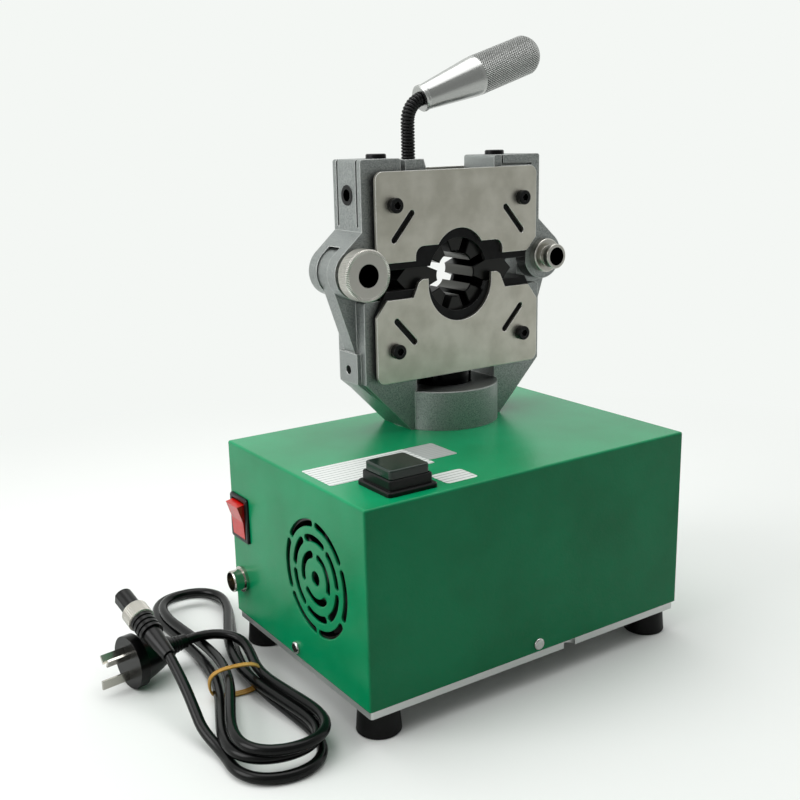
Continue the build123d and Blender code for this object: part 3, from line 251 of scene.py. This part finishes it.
def blend(tree, factor, first, second):
    """Mixes two colours, each given as a hex code or as another node's output."""
    mix = add(tree, "ShaderNodeMix", {"Factor": factor}, data_type="RGBA")
    sockets = [i for i in mix.inputs if i.type == "RGBA"]
    for socket, colour in zip(sockets, (first, second)):
        if isinstance(colour, str):
            socket.default_value = paint(colour)
        else:
            tree.links.new(colour, socket)
    return next(o for o in mix.outputs if o.type == "RGBA")


def grain(tree, place, size_mm, stretch=(1, 1, 1), detail=4.0):
    """Fine noise at this size, drawn out along an axis where its stretch is below 1."""
    mapped = add(tree, "ShaderNodeMapping", {"Vector": place, "Scale": stretch})
    sockets = {"Vector": mapped.outputs["Vector"], "Scale": 1 / (size_mm * MM), "Detail": detail}
    noise = add(tree, "ShaderNodeTexNoise", sockets)
    return noise.outputs["Fac"]


def knurl(tree, place, centre, turn, knurl_with_painted_groove_shade, lead=0.0, inner_mm=0.0, start_mm=None):
    """Height of a knurl round an axis, outside a radius and past a distance; a lead above 0 gives diamonds."""
    local = add(
        tree, "ShaderNodeMapping", {"Vector": place, "Location": centre, "Rotation": turn}, vector_type="TEXTURE"
    )
    parts = add(tree, "ShaderNodeSeparateXYZ", {"Vector": local.outputs["Vector"]})
    flat = add(tree, "ShaderNodeCombineXYZ", {"X": parts.outputs["X"], "Y": parts.outputs["Y"]})
    radius = add(tree, "ShaderNodeVectorMath", {0: flat.outputs["Vector"]}, operation="LENGTH").outputs["Value"]
    x, y = parts.outputs["X"], parts.outputs["Y"]
    angle = add(tree, "ShaderNodeMath", {0: y, 1: x}, operation="ARCTAN2")
    around = add(tree, "ShaderNodeMath", {0: angle.outputs[0], 1: float(knurl_with_painted_groove_shade)}, operation="MULTIPLY").outputs[0]
    along = add(tree, "ShaderNodeMath", {0: parts.outputs["Z"], 1: lead}, operation="MULTIPLY").outputs[0]
    waves = []
    for operation in ("ADD", "SUBTRACT"):
        phase = add(tree, "ShaderNodeMath", {0: around, 1: along}, operation=operation).outputs[0]
        wave = add(tree, "ShaderNodeMath", {0: phase}, operation="SINE").outputs[0]
        waves.append(add(tree, "ShaderNodeMath", {0: wave}, operation="ABSOLUTE").outputs[0])
    height = add(tree, "ShaderNodeMath", {0: waves[0], 1: waves[1]}, operation="MULTIPLY").outputs[0]
    where = band(tree, radius, (inner_mm - 0.2) * MM, inner_mm * MM)
    if start_mm is not None:
        past = band(tree, parts.outputs["Z"], (start_mm - 0.3) * MM, (start_mm + 0.3) * MM)
        where = add(tree, "ShaderNodeMath", {0: where, 1: past}, operation="MULTIPLY").outputs[0]
    return add(tree, "ShaderNodeMath", {0: height, 1: where}, operation="MULTIPLY").outputs[0]


# ---- Materials ---------------------------------------------------------------------------------------------
def green_enamel():
    """Stoved green enamel on sheet steel: glossy, with the fine ripple that a sprayed coat dries to."""
    material, tree, surface, place = shader("green_stoved_enamel", "#00935e", 0.0, 0.25)
    tree.links.new(blotches(tree, place, 60, "#008653", "#02945f"), surface.inputs["Base Color"])
    surface.inputs["Specular IOR Level"].default_value = 0.24
    relief(tree, surface, grain(tree, place, 1.9, detail=2.0), 0.16, 0.55, 1.3)
    return material


def cast_steel():
    """Cast steel, blasted and lacquered silver: sandy grain, a painted highlight along its edges, and painted shade,
    near black, inside the window between the yokes.
    """
    material, tree, surface, place = shader("silver_lacquered_cast_steel", "#84888a", 0.9, 0.4)
    sand = grain(tree, place, 0.6, detail=4.0)
    skin = blend(tree, band(tree, sand, 0.34, 0.6), "#717575", "#a3a7a5")
    # Painted shade: all of the casting inside the box of the window between the yokes is painted near black
    # (#101111).
    parts = add(tree, "ShaderNodeSeparateXYZ", {"Vector": place})
    side = add(tree, "ShaderNodeMath", {0: parts.outputs["X"], 1: HEAD_X}, operation="SUBTRACT").outputs[0]
    side = add(tree, "ShaderNodeMath", {0: side}, operation="ABSOLUTE").outputs[0]
    inside = band(tree, side, WINDOW_SIDE + 0.4 * MM, WINDOW_SIDE - 0.4 * MM)
    above = band(tree, parts.outputs["Z"], WINDOW_LOW - 0.5 * MM, WINDOW_LOW + 0.5 * MM)
    below = band(tree, parts.outputs["Z"], WINDOW_HIGH + 0.5 * MM, WINDOW_HIGH - 0.5 * MM)
    painted_window_shade = add(tree, "ShaderNodeMath", {0: inside, 1: above}, operation="MULTIPLY").outputs[0]
    painted_window_shade = add(tree, "ShaderNodeMath", {0: painted_window_shade, 1: below}, operation="MULTIPLY").outputs[0]
    # Painted highlight: the casting's edges are painted near white.
    skin_with_painted_highlight = blend(tree, at_edges(tree, 0.9), skin, "#e6e8e6")
    tree.links.new(blend(tree, painted_window_shade, skin_with_painted_highlight, "#101111"), surface.inputs["Base Color"])
    tree.links.new(spread(tree, sand, 0.26, 0.44), surface.inputs["Roughness"])
    relief(tree, surface, sand, 0.4, 0.8, 0.8)
    return material


def ground_steel():
    """Surface-ground steel plate: warm grey with fine lines along the plate, and a painted highlight, near white,
    along its edges.
    """
    material, tree, surface, place = shader("surface_ground_steel", "#a3a094", 1.0, 0.38)
    lines = grain(tree, place, 1.1, (0.08, 1.0, 1.0))
    stains = blotches(tree, place, 16, "#bdbaae", "#d0cdc2", 5.0)
    # Painted highlight along the plate's edges.
    tree.links.new(blend(tree, at_edges(tree, 0.8), stains, "#fafaf7"), surface.inputs["Base Color"])
    tree.links.new(spread(tree, lines, 0.3, 0.48), surface.inputs["Roughness"])
    relief(tree, surface, lines, 0.05, 0.6, 0.8)
    return material


def turned_steel(name, centre, turn, knurl_with_painted_groove_shade, inner_mm, bore_mm):
    """Turned steel with a flat bright face and a painted highlight along its edges, straight ridges round the rim
    only, and its bore painted near black as shade.
    """
    material, tree, surface, place = shader(name, "#bdbbb5", 1.0, 0.3)
    # Painted highlight along the edges.
    face = blend(tree, at_edges(tree, 0.5), "#bfbdb6", "#f6f6f3")
    off = add(tree, "ShaderNodeVectorMath", {0: place, 1: centre}, operation="SUBTRACT").outputs["Vector"]
    flat = add(tree, "ShaderNodeVectorMath", {0: off, 1: (1.0, 0.0, 1.0)}, operation="MULTIPLY").outputs["Vector"]
    radius = add(tree, "ShaderNodeVectorMath", {0: flat}, operation="LENGTH").outputs["Value"]
    # Painted shade: inside the bore's radius the steel is painted near black.
    bore = band(tree, radius, (bore_mm + 0.1) * MM, bore_mm * MM)
    tree.links.new(blend(tree, bore, face, "#090909"), surface.inputs["Base Color"])
    relief(tree, surface, knurl(tree, place, centre, turn, knurl_with_painted_groove_shade, 0.0, inner_mm), 0.5, 1.0, 0.5)
    return material


def bright_steel():
    """Turned steel with no knurl: smooth, with a painted highlight along its edges."""
    material, tree, surface, place = shader("turned_bright_steel", "#b6b4ae", 1.0, 0.24)
    # Painted highlight along the edges.
    tree.links.new(blend(tree, at_edges(tree, 0.4), "#aaa8a2", "#f2f2ef"), surface.inputs["Base Color"])
    relief(tree, surface, grain(tree, place, 4.0), 0.02, 0.3, 0.4)
    return material


def black_oxide():
    """Hardened steel blackened in an oxide bath: nearly black and oily, with a grey painted highlight along its
    edges.
    """
    material, tree, surface, place = shader("black_oxide_steel", "#141415", 0.7, 0.36)
    patches = blotches(tree, place, 9, "#0e0e0f", "#1a1a1b")
    # Painted highlight: the edges are painted grey.
    tree.links.new(blend(tree, at_edges(tree, 0.35), patches, "#5b5b5a"), surface.inputs["Base Color"])
    relief(tree, surface, grain(tree, place, 1.0), 0.03, 0.4, 0.35)
    return material


def die_steel():
    """Die segments: blackened, with dull grey end faces and a bright ground bore that presses the ferrule."""
    material, tree, surface, place = shader("blackened_die_steel", "#121212", 0.85, 0.3)
    sockets = {"Vector": place, "Location": (HEAD_X, 0.05, 0.2655)}
    local = add(tree, "ShaderNodeMapping", sockets, vector_type="TEXTURE")
    parts = add(tree, "ShaderNodeSeparateXYZ", {"Vector": local.outputs["Vector"]})
    flat = add(tree, "ShaderNodeCombineXYZ", {"X": parts.outputs["X"], "Z": parts.outputs["Z"]})
    outward = add(tree, "ShaderNodeVectorMath", {0: flat.outputs["Vector"]}, operation="NORMALIZE").outputs["Vector"]
    plain = add(tree, "ShaderNodeTexCoord").outputs["Normal"]
    inward = add(tree, "ShaderNodeVectorMath", {0: outward, 1: plain}, operation="DOT_PRODUCT").outputs["Value"]
    facing = add(tree, "ShaderNodeSeparateXYZ", {"Vector": plain}).outputs["Y"]
    facing = add(tree, "ShaderNodeMath", {0: facing}, operation="ABSOLUTE").outputs[0]
    ends = blend(tree, band(tree, facing, 0.8, 0.95), "#0b0b0b", "#343433")
    tree.links.new(blend(tree, band(tree, inward, -0.8, -0.93), ends, "#4d4d4a"), surface.inputs["Base Color"])
    relief(tree, surface, grain(tree, place, 1.5), 0.03, 0.4, 0.3)
    return material


def knurled_aluminium():
    """Turned aluminium grip: a smooth cone, then a diamond knurl at 1.5 mm pitch on its outer half."""
    material, tree, surface, place = shader("diamond_knurled_aluminium", "#b4b5b3", 1.0, 0.24)
    turn = (0.0, math.radians(90 - GRIP_TILT), 0.0)
    pattern = knurl(tree, place, GRIP_START, turn, 26, 1500.0, 0.2, GRIP_CONE)
    past = knurl_zone(tree, place, turn)
    relief(tree, surface, pattern, 0.7, 1.0, 0.4)
    # Painted shade: the knurl's grooves are painted dark grey and its ridges pale.
    knurl_with_painted_groove_shade = blend(tree, band(tree, pattern, 0.12, 0.5), "#2d2e2c", "#c6c7c5")
    metal = blend(tree, past, "#b6b7b5", knurl_with_painted_groove_shade)
    # Painted highlight along the grip's edges.
    tree.links.new(blend(tree, at_edges(tree, 0.4), metal, "#f2f3f1"), surface.inputs["Base Color"])
    return material


def knurl_zone(tree, place, turn):
    """1 on the outer half of the grip and 0 on its cone."""
    local = add(
        tree, "ShaderNodeMapping", {"Vector": place, "Location": GRIP_START, "Rotation": turn}, vector_type="TEXTURE"
    )
    along = add(tree, "ShaderNodeSeparateXYZ", {"Vector": local.outputs["Vector"]}).outputs["Z"]
    return band(tree, along, (GRIP_CONE - 0.3) * MM, (GRIP_CONE + 0.3) * MM)


def milled_aluminium():
    """Rolled aluminium plate: pale, with fine lines in its roughness and bump."""
    material, tree, surface, place = shader("rolled_aluminium_plate", "#dcdedd", 0.85, 0.36)
    tree.links.new(spread(tree, grain(tree, place, 1.5, (0.1, 0.1, 1.0)), 0.3, 0.46), surface.inputs["Roughness"])
    relief(tree, surface, grain(tree, place, 1.0, (0.1, 0.1, 1.0)), 0.03, 0.5, 0.5)
    return material


def zinc():
    """Zinc-plated fasteners: pale and slightly cloudy."""
    material, tree, surface, place = shader("zinc_plated_steel", "#c9cac8", 1.0, 0.24)
    tree.links.new(blotches(tree, place, 4, "#bdbebc", "#d3d4d2"), surface.inputs["Base Color"])
    return material


def nickel(name, centre=None, turn=None, inner_mm=0.0):
    """Bright nickel plate on brass, a little warm, with a painted highlight along its edges."""
    material, tree, surface, place = shader(name, "#c8c5bd", 1.0, 0.16)
    # Painted highlight along the edges.
    tree.links.new(blend(tree, at_edges(tree, 0.3), "#bdbab2", "#f6f5f0"), surface.inputs["Base Color"])
    if centre is not None:
        relief(tree, surface, knurl(tree, place, centre, turn, 22, 0.0, inner_mm), 0.5, 0.9)
    return material


def brass():
    """Drawn brass contact pins."""
    material, tree, surface, place = shader("drawn_brass", "#c9a24f", 1.0, 0.25)
    tree.links.new(blotches(tree, place, 2, "#c09a4a", "#d2ac5c"), surface.inputs["Base Color"])
    return material


def moulded(name, low, high, roughness, grain_mm, depth_mm, gloss=0.3):
    """Moulded plastic or rubber: one colour, with the fine spark-eroded grain of its mould."""
    material, tree, surface, place = shader(name, low, 0.0, roughness)
    surface.inputs["Specular IOR Level"].default_value = gloss
    tree.links.new(blotches(tree, place, 12, low, high), surface.inputs["Base Color"])
    relief(tree, surface, grain(tree, place, grain_mm), depth_mm, 0.5, 0.4)
    return material


def hard_chrome():
    """Ground hard chrome on the ram; its neck, where it carries the lower dies, is painted near black as shade."""
    material, tree, surface, place = shader("ground_hard_chrome", "#c4c6c8", 1.0, 0.14)
    height = add(tree, "ShaderNodeSeparateXYZ", {"Vector": place}).outputs["Z"]
    # Painted shade: above 175 mm the ram is painted near black.
    tree.links.new(blend(tree, band(tree, height, 0.175, 0.18), "#c4c6c8", "#0c0c0c"), surface.inputs["Base Color"])
    tree.links.new(spread(tree, grain(tree, place, 2.0), 0.1, 0.2), surface.inputs["Roughness"])
    return material


def button_green():
    """Dark green acrylic cap with a lighter green painted highlight along its edges."""
    material, tree, surface, place = shader("dark_green_acrylic", "#0a1f17", 0.0, 0.14)
    patches = blotches(tree, place, 20, "#081b14", "#0d261c")
    # Painted highlight along the cap's edges.
    tree.links.new(blend(tree, at_edges(tree, 1.1), patches, "#3c5a4c"), surface.inputs["Base Color"])
    relief(tree, surface, grain(tree, place, 5.0), 0.01, 0.3, 0.5)
    return material


HEAD_X = 0.030
WINDOW_SIDE = 66.6 * MM
WINDOW_LOW = 193.0 * MM
WINDOW_HIGH = 327.0 * MM
GRIP_TILT = 18.2
GRIP_CONE = 51.0
GRIP_START = (0.0063598, 0.040, 0.3885102)
HINGE_CENTRE = (-0.054, 0.050, 0.2725)
LOCK_CENTRE = (0.114, 0.050, 0.2725)
ALONG_Y = (math.radians(90), 0.0, 0.0)
CONNECTOR_NOSE = Vector((-217.0, 93.0, 55.5)) * MM
CONNECTOR_TAIL = Vector((-210.7, 27.7, 35.5)) * MM
connector_turn = (CONNECTOR_TAIL - CONNECTOR_NOSE).to_track_quat("Z", "Y").to_euler()

enamel = green_enamel()
casting = cast_steel()
plate_steel = ground_steel()
oxide = black_oxide()
dies = die_steel()
bright = bright_steel()
hinge_steel = turned_steel("knurled_turned_steel", HINGE_CENTRE, ALONG_Y, 44, 15.4, 8.05)
lock_steel = turned_steel("bored_turned_steel", LOCK_CENTRE, ALONG_Y, 36, 14.0, 6.85)
grip_metal = knurled_aluminium()
aluminium = milled_aluminium()
plated = zinc()
nickel_plain = nickel("bright_nickel_plate")
nickel_knurled = nickel("knurled_nickel_plate", CONNECTOR_NOSE, connector_turn, 8.0)
contacts = brass()
chrome = hard_chrome()
black_abs = moulded("black_moulded_abs", "#040404", "#080808", 0.28, 0.8, 0.04, 0.24)
cap_green = button_green()
red_rocker = moulded("red_translucent_polycarbonate", "#c40f0a", "#d8150f", 0.16, 4.0, 0.01, 0.5)
rubber_foot = moulded("black_moulded_rubber", "#070707", "#0d0d0d", 0.5, 1.2, 0.08, 0.2)
cord_pvc = moulded("black_cord_pvc", "#020303", "#060707", 0.24, 1.5, 0.03, 0.22)
band_latex = moulded("tan_latex", "#c8963f", "#dcb062", 0.42, 1.4, 0.05)
machine_grey = moulded("grey_stoved_enamel", "#4a4e52", "#54585c", 0.35, 2.0, 0.06)
circuit_green = moulded("green_solder_mask", "#15512c", "#1b5f35", 0.4, 3.0, 0.02)

finishes = {
    enamel: ["cover"],
    casting: ["lower_yoke", "upper_yoke"],
    plate_steel: ["upper_front_plate", "upper_rear_plate", "lower_front_plate", "lower_rear_plate"],
    oxide: [
        "upper_carrier", "lower_carrier", "upper_backings", "lower_backings", "upper_plate_screws",
        "lower_plate_screws", "top_screws", "gooseneck", "side_bushes",
    ],
    dies: [
        "die_right", "die_upper_right", "die_top", "die_upper_left", "die_left", "die_lower_left", "die_bottom",
        "die_lower_right",
    ],
    bright: ["pressure_pipe", "cylinder_barrel"],
    lock_steel: ["lock_pin"],
    hinge_steel: ["hinge_pin"],
    grip_metal: ["handle_grip"],
    aluminium: ["base_plate", "pump_block"],
    plated: ["foot_screws", "cover_screws", "cover_brackets", "socket_nut"],
    nickel_plain: ["socket_shell", "plug_pins"],
    nickel_knurled: ["connector_ring"],
    contacts: ["socket_pins"],
    chrome: ["ram"],
    black_abs: [
        "rocker_bezel", "button_housing", "fan_frame", "fan_rotor", "plug_body", "plug_relief", "connector_body",
        "connector_boot",
    ],
    cap_green: ["button_cap"],
    red_rocker: ["rocker"],
    rubber_foot: ["feet"],
    band_latex: ["rubber_band"],
    machine_grey: ["motor", "oil_tank"],
    circuit_green: ["control_board"],
}
for material, names in finishes.items():
    for name in names:
        mesh = nodes[name].data
        mesh.materials.clear()
        mesh.materials.append(material)
power_cord.data.materials.append(cord_pvc)


# ---- Pieces made here --------------------------------------------------------------------------------------
def settle(piece, name, material, body, angle=30.0):
    """Puts a piece's place into its mesh, shades it and hangs it on its body."""
    pick(piece)
    bpy.ops.object.transform_apply(location=True, rotation=True, scale=True)
    bpy.ops.object.shade_smooth_by_angle(angle=math.radians(angle))
    piece.name = name
    piece.data.materials.clear()
    piece.data.materials.append(material)
    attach(piece, body)
    return piece


def rounded_sheet(x0, x1, y0, y1, z, thickness, corner):
    """Thin rounded rectangle, as a label is cut."""
    bpy.ops.mesh.primitive_plane_add(size=1.0, location=((x0 + x1) / 2 * MM, (y0 + y1) / 2 * MM, z * MM))
    sheet = bpy.context.active_object
    sheet.scale = ((x1 - x0) * MM, (y1 - y0) * MM, 1.0)
    bpy.ops.object.transform_apply(location=False, rotation=False, scale=True)
    bpy.ops.object.mode_set(mode="EDIT")
    bpy.ops.mesh.select_all(action="SELECT")
    bpy.ops.mesh.bevel(offset=corner * MM, segments=5, affect="VERTICES")
    bpy.ops.mesh.extrude_region_move(TRANSFORM_OT_translate={"value": (0, 0, thickness * MM)})
    bpy.ops.mesh.select_all(action="SELECT")
    bpy.ops.mesh.normals_make_consistent(inside=False)
    bpy.ops.object.mode_set(mode="OBJECT")
    return sheet


def sticker(name, base, ink, line_mm, share):
    """Printed vinyl label with plain ruled lines where the print would be."""
    material, tree, surface, place = shader(name, base, 0.0, 0.32)
    parts = add(tree, "ShaderNodeSeparateXYZ", {"Vector": place})
    step = add(tree, "ShaderNodeMath", {0: parts.outputs["Y"], 1: line_mm * MM}, operation="DIVIDE")
    saw = add(tree, "ShaderNodeMath", {0: step.outputs[0]}, operation="FRACT")
    rule = add(tree, "ShaderNodeMath", {0: saw.outputs[0], 1: share}, operation="LESS_THAN")
    mix = add(tree, "ShaderNodeMix", {"Factor": rule.outputs[0]}, data_type="RGBA")
    mix.inputs["A"].default_value = paint(base)
    mix.inputs["B"].default_value = paint(ink)
    tree.links.new(mix.outputs["Result"], surface.inputs["Base Color"])
    return material


COVER_TOP = 154.0
LABEL_T = 0.15
label_white = sticker("white_vinyl_label", "#dfe3e0", "#8f9693", 4.2, 0.2)
label_silver = sticker("silver_foil_label", "#aeb3b0", "#8c918e", 3.4, 0.18)
settle(rounded_sheet(-124, -44, -42.5, -4.5, COVER_TOP, LABEL_T, 1.5), "rating_label", label_white, "base")
settle(rounded_sheet(-43.8, -20, -35.5, -4.5, COVER_TOP, LABEL_T, 1.5), "rating_label_end", label_silver, "base")
settle(rounded_sheet(-63.5, -39, -83, -63, COVER_TOP, LABEL_T, 3.0), "inspection_label", label_white, "base")


# ---- Handle neck: a close-wound spring over its core -------------------------------------------------------
PIN_Z = 272.5
NECK_X = -4.5
NECK_Y = 40.0
NECK_FOOT = PIN_Z + 75.5
NECK_BEND_Z = PIN_Z + 101.0
NECK_BEND_R = 15.8
NECK_TURN = math.radians(90 - GRIP_TILT)
NECK_LENGTH = NECK_BEND_Z - NECK_FOOT + NECK_BEND_R * NECK_TURN
NECK_PITCH = 2.15
NECK_COIL_R, NECK_WIRE_R, NECK_CORE_R = 3.95, 1.05, 3.4
NECK_INTO_GRIP = 7
NECK_STEPS = 24


def neck_place(distance):
    """Point and direction at a distance along the neck, from its foot."""
    straight = NECK_BEND_Z - NECK_FOOT
    if distance <= straight:
        return Vector((NECK_X, NECK_Y, NECK_FOOT + distance)), Vector((0, 0, 1))
    angle = min((distance - straight) / NECK_BEND_R, NECK_TURN)
    point = Vector(
        (NECK_X + NECK_BEND_R * (1 - math.cos(angle)), NECK_Y, NECK_BEND_Z + NECK_BEND_R * math.sin(angle))
    )
    return point, Vector((math.sin(angle), 0, math.cos(angle)))


def make_neck_spring():
    """Close coils along the neck, joined in one piece."""
    coils = []
    for k in range(int(NECK_LENGTH / NECK_PITCH)):
        point, direction = neck_place(NECK_PITCH * (k + 0.5))
        bpy.ops.mesh.primitive_torus_add(
            major_radius=NECK_COIL_R * MM, minor_radius=NECK_WIRE_R * MM, major_segments=28, minor_segments=8,
            location=point * MM, rotation=direction.to_track_quat("Z", "Y").to_euler(),
        )
        coils.append(bpy.context.active_object)
    pick(coils[0])
    for coil in coils:
        coil.select_set(True)
    bpy.ops.object.join()
    return coils[0]


def curve_piece(curve):
    """Turns a curve into a piece with its own mesh."""
    piece = bpy.data.objects.new(curve.name, curve)
    bpy.context.scene.collection.objects.link(piece)
    pick(piece)
    bpy.ops.object.convert(target="MESH")
    return bpy.context.active_object


def make_neck_core():
    """Dark rod under the coils, which runs on into the grip."""
    curve = bpy.data.curves.new("neck_core", "CURVE")
    curve.dimensions = "3D"
    curve.bevel_depth = NECK_CORE_R * MM
    curve.bevel_resolution = 4
    curve.use_fill_caps = True
    spline = curve.splines.new("POLY")
    points = [neck_place(NECK_LENGTH * k / NECK_STEPS)[0] * MM for k in range(NECK_STEPS + 1)]
    points.append(points[-1] + neck_place(NECK_LENGTH)[1] * NECK_INTO_GRIP * MM)
    spline.points.add(len(points) - 1)
    for control, point in zip(spline.points, points):
        control.co = (*point, 1.0)
    return curve_piece(curve)


neck_spring = settle(make_neck_spring(), "neck_spring", oxide, "upper_head")
neck_core = settle(make_neck_core(), "neck_core", oxide, "upper_head")
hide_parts("gooseneck")


# ---- Rubber band: three thin strands pulled tight round the hank -------------------------------------------
BAND_ALONG = 0.39
BAND_STRAND_R = 0.78
BAND_HALF_WIDTH, BAND_HALF_HEIGHT, BAND_MIDDLE_Z = 18.1, 10.2, 11.2
BAND_SQUARENESS = 0.72
BAND_STEPS = 28


def squared(value):
    """A sine or cosine swollen toward the corners of a box."""
    return math.copysign(abs(value) ** BAND_SQUARENESS, value)


def make_band_strand(along, number):
    """One closed strand, which wanders a little along the hank."""
    curve = bpy.data.curves.new("band_strand", "CURVE")
    curve.dimensions = "3D"
    curve.resolution_u = 4
    curve.bevel_depth = BAND_STRAND_R * MM
    curve.bevel_resolution = 2
    spline = curve.splines.new("NURBS")
    spline.points.add(BAND_STEPS - 1)
    for k, control in enumerate(spline.points):
        angle = 2 * math.pi * k / BAND_STEPS
        across = BAND_HALF_WIDTH * squared(math.cos(angle))
        height = BAND_MIDDLE_Z + BAND_HALF_HEIGHT * squared(math.sin(angle))
        slip = 0.0016 * math.sin(angle + number * 2.1)
        control.co = (*(hank_point(along + slip, across, height) * MM), 1.0)
    spline.use_cyclic_u = True
    spline.order_u = 3
    return curve_piece(curve)


strands = [make_band_strand(BAND_ALONG + shift, k) for k, shift in enumerate((-0.0058, 0.0, 0.0058))]
strands = [
    settle(strand, f"band_strand_{k}", band_latex, "base") for k, strand in enumerate(strands)
]
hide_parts("rubber_band")


# ---- Ribs on the plug's strain relief ----------------------------------------------------------------------
PLUG_AXIS = Vector((0.988, 0.156, 0.0)).normalized()
PLUG_RELIEF = Vector((-226.0, 67.0, 18.6)) + PLUG_AXIS * 33.0


def make_rib(number):
    """One round rib; each is smaller than the one before."""
    bpy.ops.mesh.primitive_torus_add(
        major_radius=(5.4 - 0.35 * number) * MM, minor_radius=0.9 * MM, major_segments=36, minor_segments=10,
        location=(PLUG_RELIEF + PLUG_AXIS * (1.6 + 2.6 * number)) * MM,
        rotation=PLUG_AXIS.to_track_quat("Z", "Y").to_euler(),
    )
    return settle(bpy.context.active_object, f"plug_rib_{number}", black_abs, "base")


ribs = [make_rib(k) for k in range(4)]


# ---- Floor, backdrop and light -----------------------------------------------------------------------------
FLOOR_INNER, FLOOR_OUTER, SWEEP_R, WALL_TOP = 0.9, 1.8, 0.7, 3.0
SWEEP_STEPS = 12
WALL_SIDES = 96


def make_backdrop():
    """Studio sweep: a flat floor that curves up into a round wall."""
    profile = [(FLOOR_INNER, 0.0), (FLOOR_OUTER, 0.0)]
    for k in range(1, SWEEP_STEPS + 1):
        angle = math.radians(90 * k / SWEEP_STEPS)
        profile.append((FLOOR_OUTER + SWEEP_R * math.sin(angle), SWEEP_R * (1 - math.cos(angle))))
    profile.append((FLOOR_OUTER + SWEEP_R, WALL_TOP))
    turns = [2 * math.pi * k / WALL_SIDES for k in range(WALL_SIDES)]
    mesh = bpy.data.meshes.new("studio_backdrop")
    sweep = bmesh.new()
    rings = [[sweep.verts.new((r * math.cos(a), r * math.sin(a), h)) for a in turns] for r, h in profile]
    sweep.faces.new(rings[0])
    for low, high in zip(rings, rings[1:]):
        for k in range(WALL_SIDES):
            after = (k + 1) % WALL_SIDES
            face = sweep.faces.new((low[after], low[k], high[k], high[after]))
            face.smooth = True
    sweep.to_mesh(mesh)
    sweep.free()
    backdrop = bpy.data.objects.new("studio_backdrop", mesh)
    bpy.context.scene.collection.objects.link(backdrop)
    mesh.materials.append(backdrop_paper())


def backdrop_paper():
    """White paper near the machine, plain white further out.

    Camera and transmission rays see the white everywhere, and metal sees it in full behind the machine and
    in part before it. To the light that bounces, the paper is mid-grey and the wall is open to the room.
    """
    paper, tree, surface, place = shader("white_backdrop_paper", "#f3f5f3", 0.0, 0.9)
    surface.inputs["Specular IOR Level"].default_value = 0.1
    parts = add(tree, "ShaderNodeSeparateXYZ", {"Vector": place})
    flat = add(tree, "ShaderNodeCombineXYZ", {"X": parts.outputs["X"], "Y": parts.outputs["Y"]})
    flat = flat.outputs["Vector"]
    reach = add(tree, "ShaderNodeVectorMath", {0: flat}, operation="LENGTH").outputs["Value"]
    far = band(tree, reach, 0.42, 0.8)
    raised = add(tree, "ShaderNodeMath", {0: parts.outputs["Z"], 1: MM}, operation="GREATER_THAN").outputs[0]
    white = add(tree, "ShaderNodeEmission", {"Color": paint("#f4f7f4"), "Strength": 1.0})
    clear = add(tree, "ShaderNodeBsdfTransparent")
    path = add(tree, "ShaderNodeLightPath").outputs
    behind = add(tree, "ShaderNodeVectorMath", {0: flat, 1: (0.2, 0.98, 0.0)}, operation="DOT_PRODUCT")
    share = spread(tree, band(tree, behind.outputs["Value"], -0.9, 0.5), 0.32, 1.0)
    seen = add(tree, "ShaderNodeMath", {0: path["Is Glossy Ray"], 1: share}, operation="MULTIPLY").outputs[0]
    for ray in ("Is Camera Ray", "Is Transmission Ray"):
        seen = add(tree, "ShaderNodeMath", {0: path[ray], 1: seen}, operation="MAXIMUM").outputs[0]
    tree.links.new(blend(tree, seen, "#8b8d8b", "#e9ebe9"), surface.inputs["Base Color"])
    glow = white.outputs["Emission"]
    wall = add(tree, "ShaderNodeMixShader", {"Fac": seen, 1: clear.outputs["BSDF"], 2: glow})
    fade = add(tree, "ShaderNodeMath", {0: seen, 1: far}, operation="MULTIPLY").outputs[0]
    floor = add(tree, "ShaderNodeMixShader", {"Fac": fade, 1: surface.outputs["BSDF"], 2: glow})
    floor, wall = floor.outputs["Shader"], wall.outputs["Shader"]
    whole = add(tree, "ShaderNodeMixShader", {"Fac": raised, 1: floor, 2: wall})
    output = next(n for n in tree.nodes if n.type == "OUTPUT_MATERIAL")
    tree.links.new(whole.outputs["Shader"], output.inputs["Surface"])
    return paper


def add_softbox(name, place, aim, size, power):
    """A flat lamp that faces a point."""
    data = bpy.data.lights.new(name, "AREA")
    data.shape = "RECTANGLE"
    data.size, data.size_y = size
    data.energy = power
    light = bpy.data.objects.new(name, data)
    light.location = place
    light.rotation_euler = (Vector(aim) - Vector(place)).to_track_quat("-Z", "Y").to_euler()
    bpy.context.scene.collection.objects.link(light)


def make_air():
    """Bright room behind and above, darker on the side the machine faces."""
    world = bpy.data.worlds.new("studio_air")
    world.use_nodes = True
    tree = world.node_tree
    tree.nodes.clear()
    way = add(tree, "ShaderNodeTexCoord").outputs["Generated"]
    toward = add(tree, "ShaderNodeVectorMath", {0: way, 1: (-0.2, -0.98, 0.0)}, operation="DOT_PRODUCT")
    level = add(
        tree, "ShaderNodeMapRange",
        {"Value": toward.outputs["Value"], "From Min": -0.15, "From Max": 0.9, "To Min": 0.9, "To Max": 0.06},
        interpolation_type="SMOOTHSTEP",
    )
    air = add(tree, "ShaderNodeBackground", {"Color": paint("#f7f9f7"), "Strength": level.outputs["Result"]})
    add(tree, "ShaderNodeOutputWorld", {"Surface": air.outputs["Background"]})
    bpy.context.scene.world = world


make_backdrop()
make_air()
add_softbox("softbox_left", (-1.3, 0.25, 0.8), (0, 0, 0.2), (0.9, 0.9), 10.0)
add_softbox("softbox_top", (0.1, 0.15, 1.7), (0, 0, 0.2), (1.8, 1.5), 16.5)
bpy.context.scene.view_settings.view_transform = "Standard"
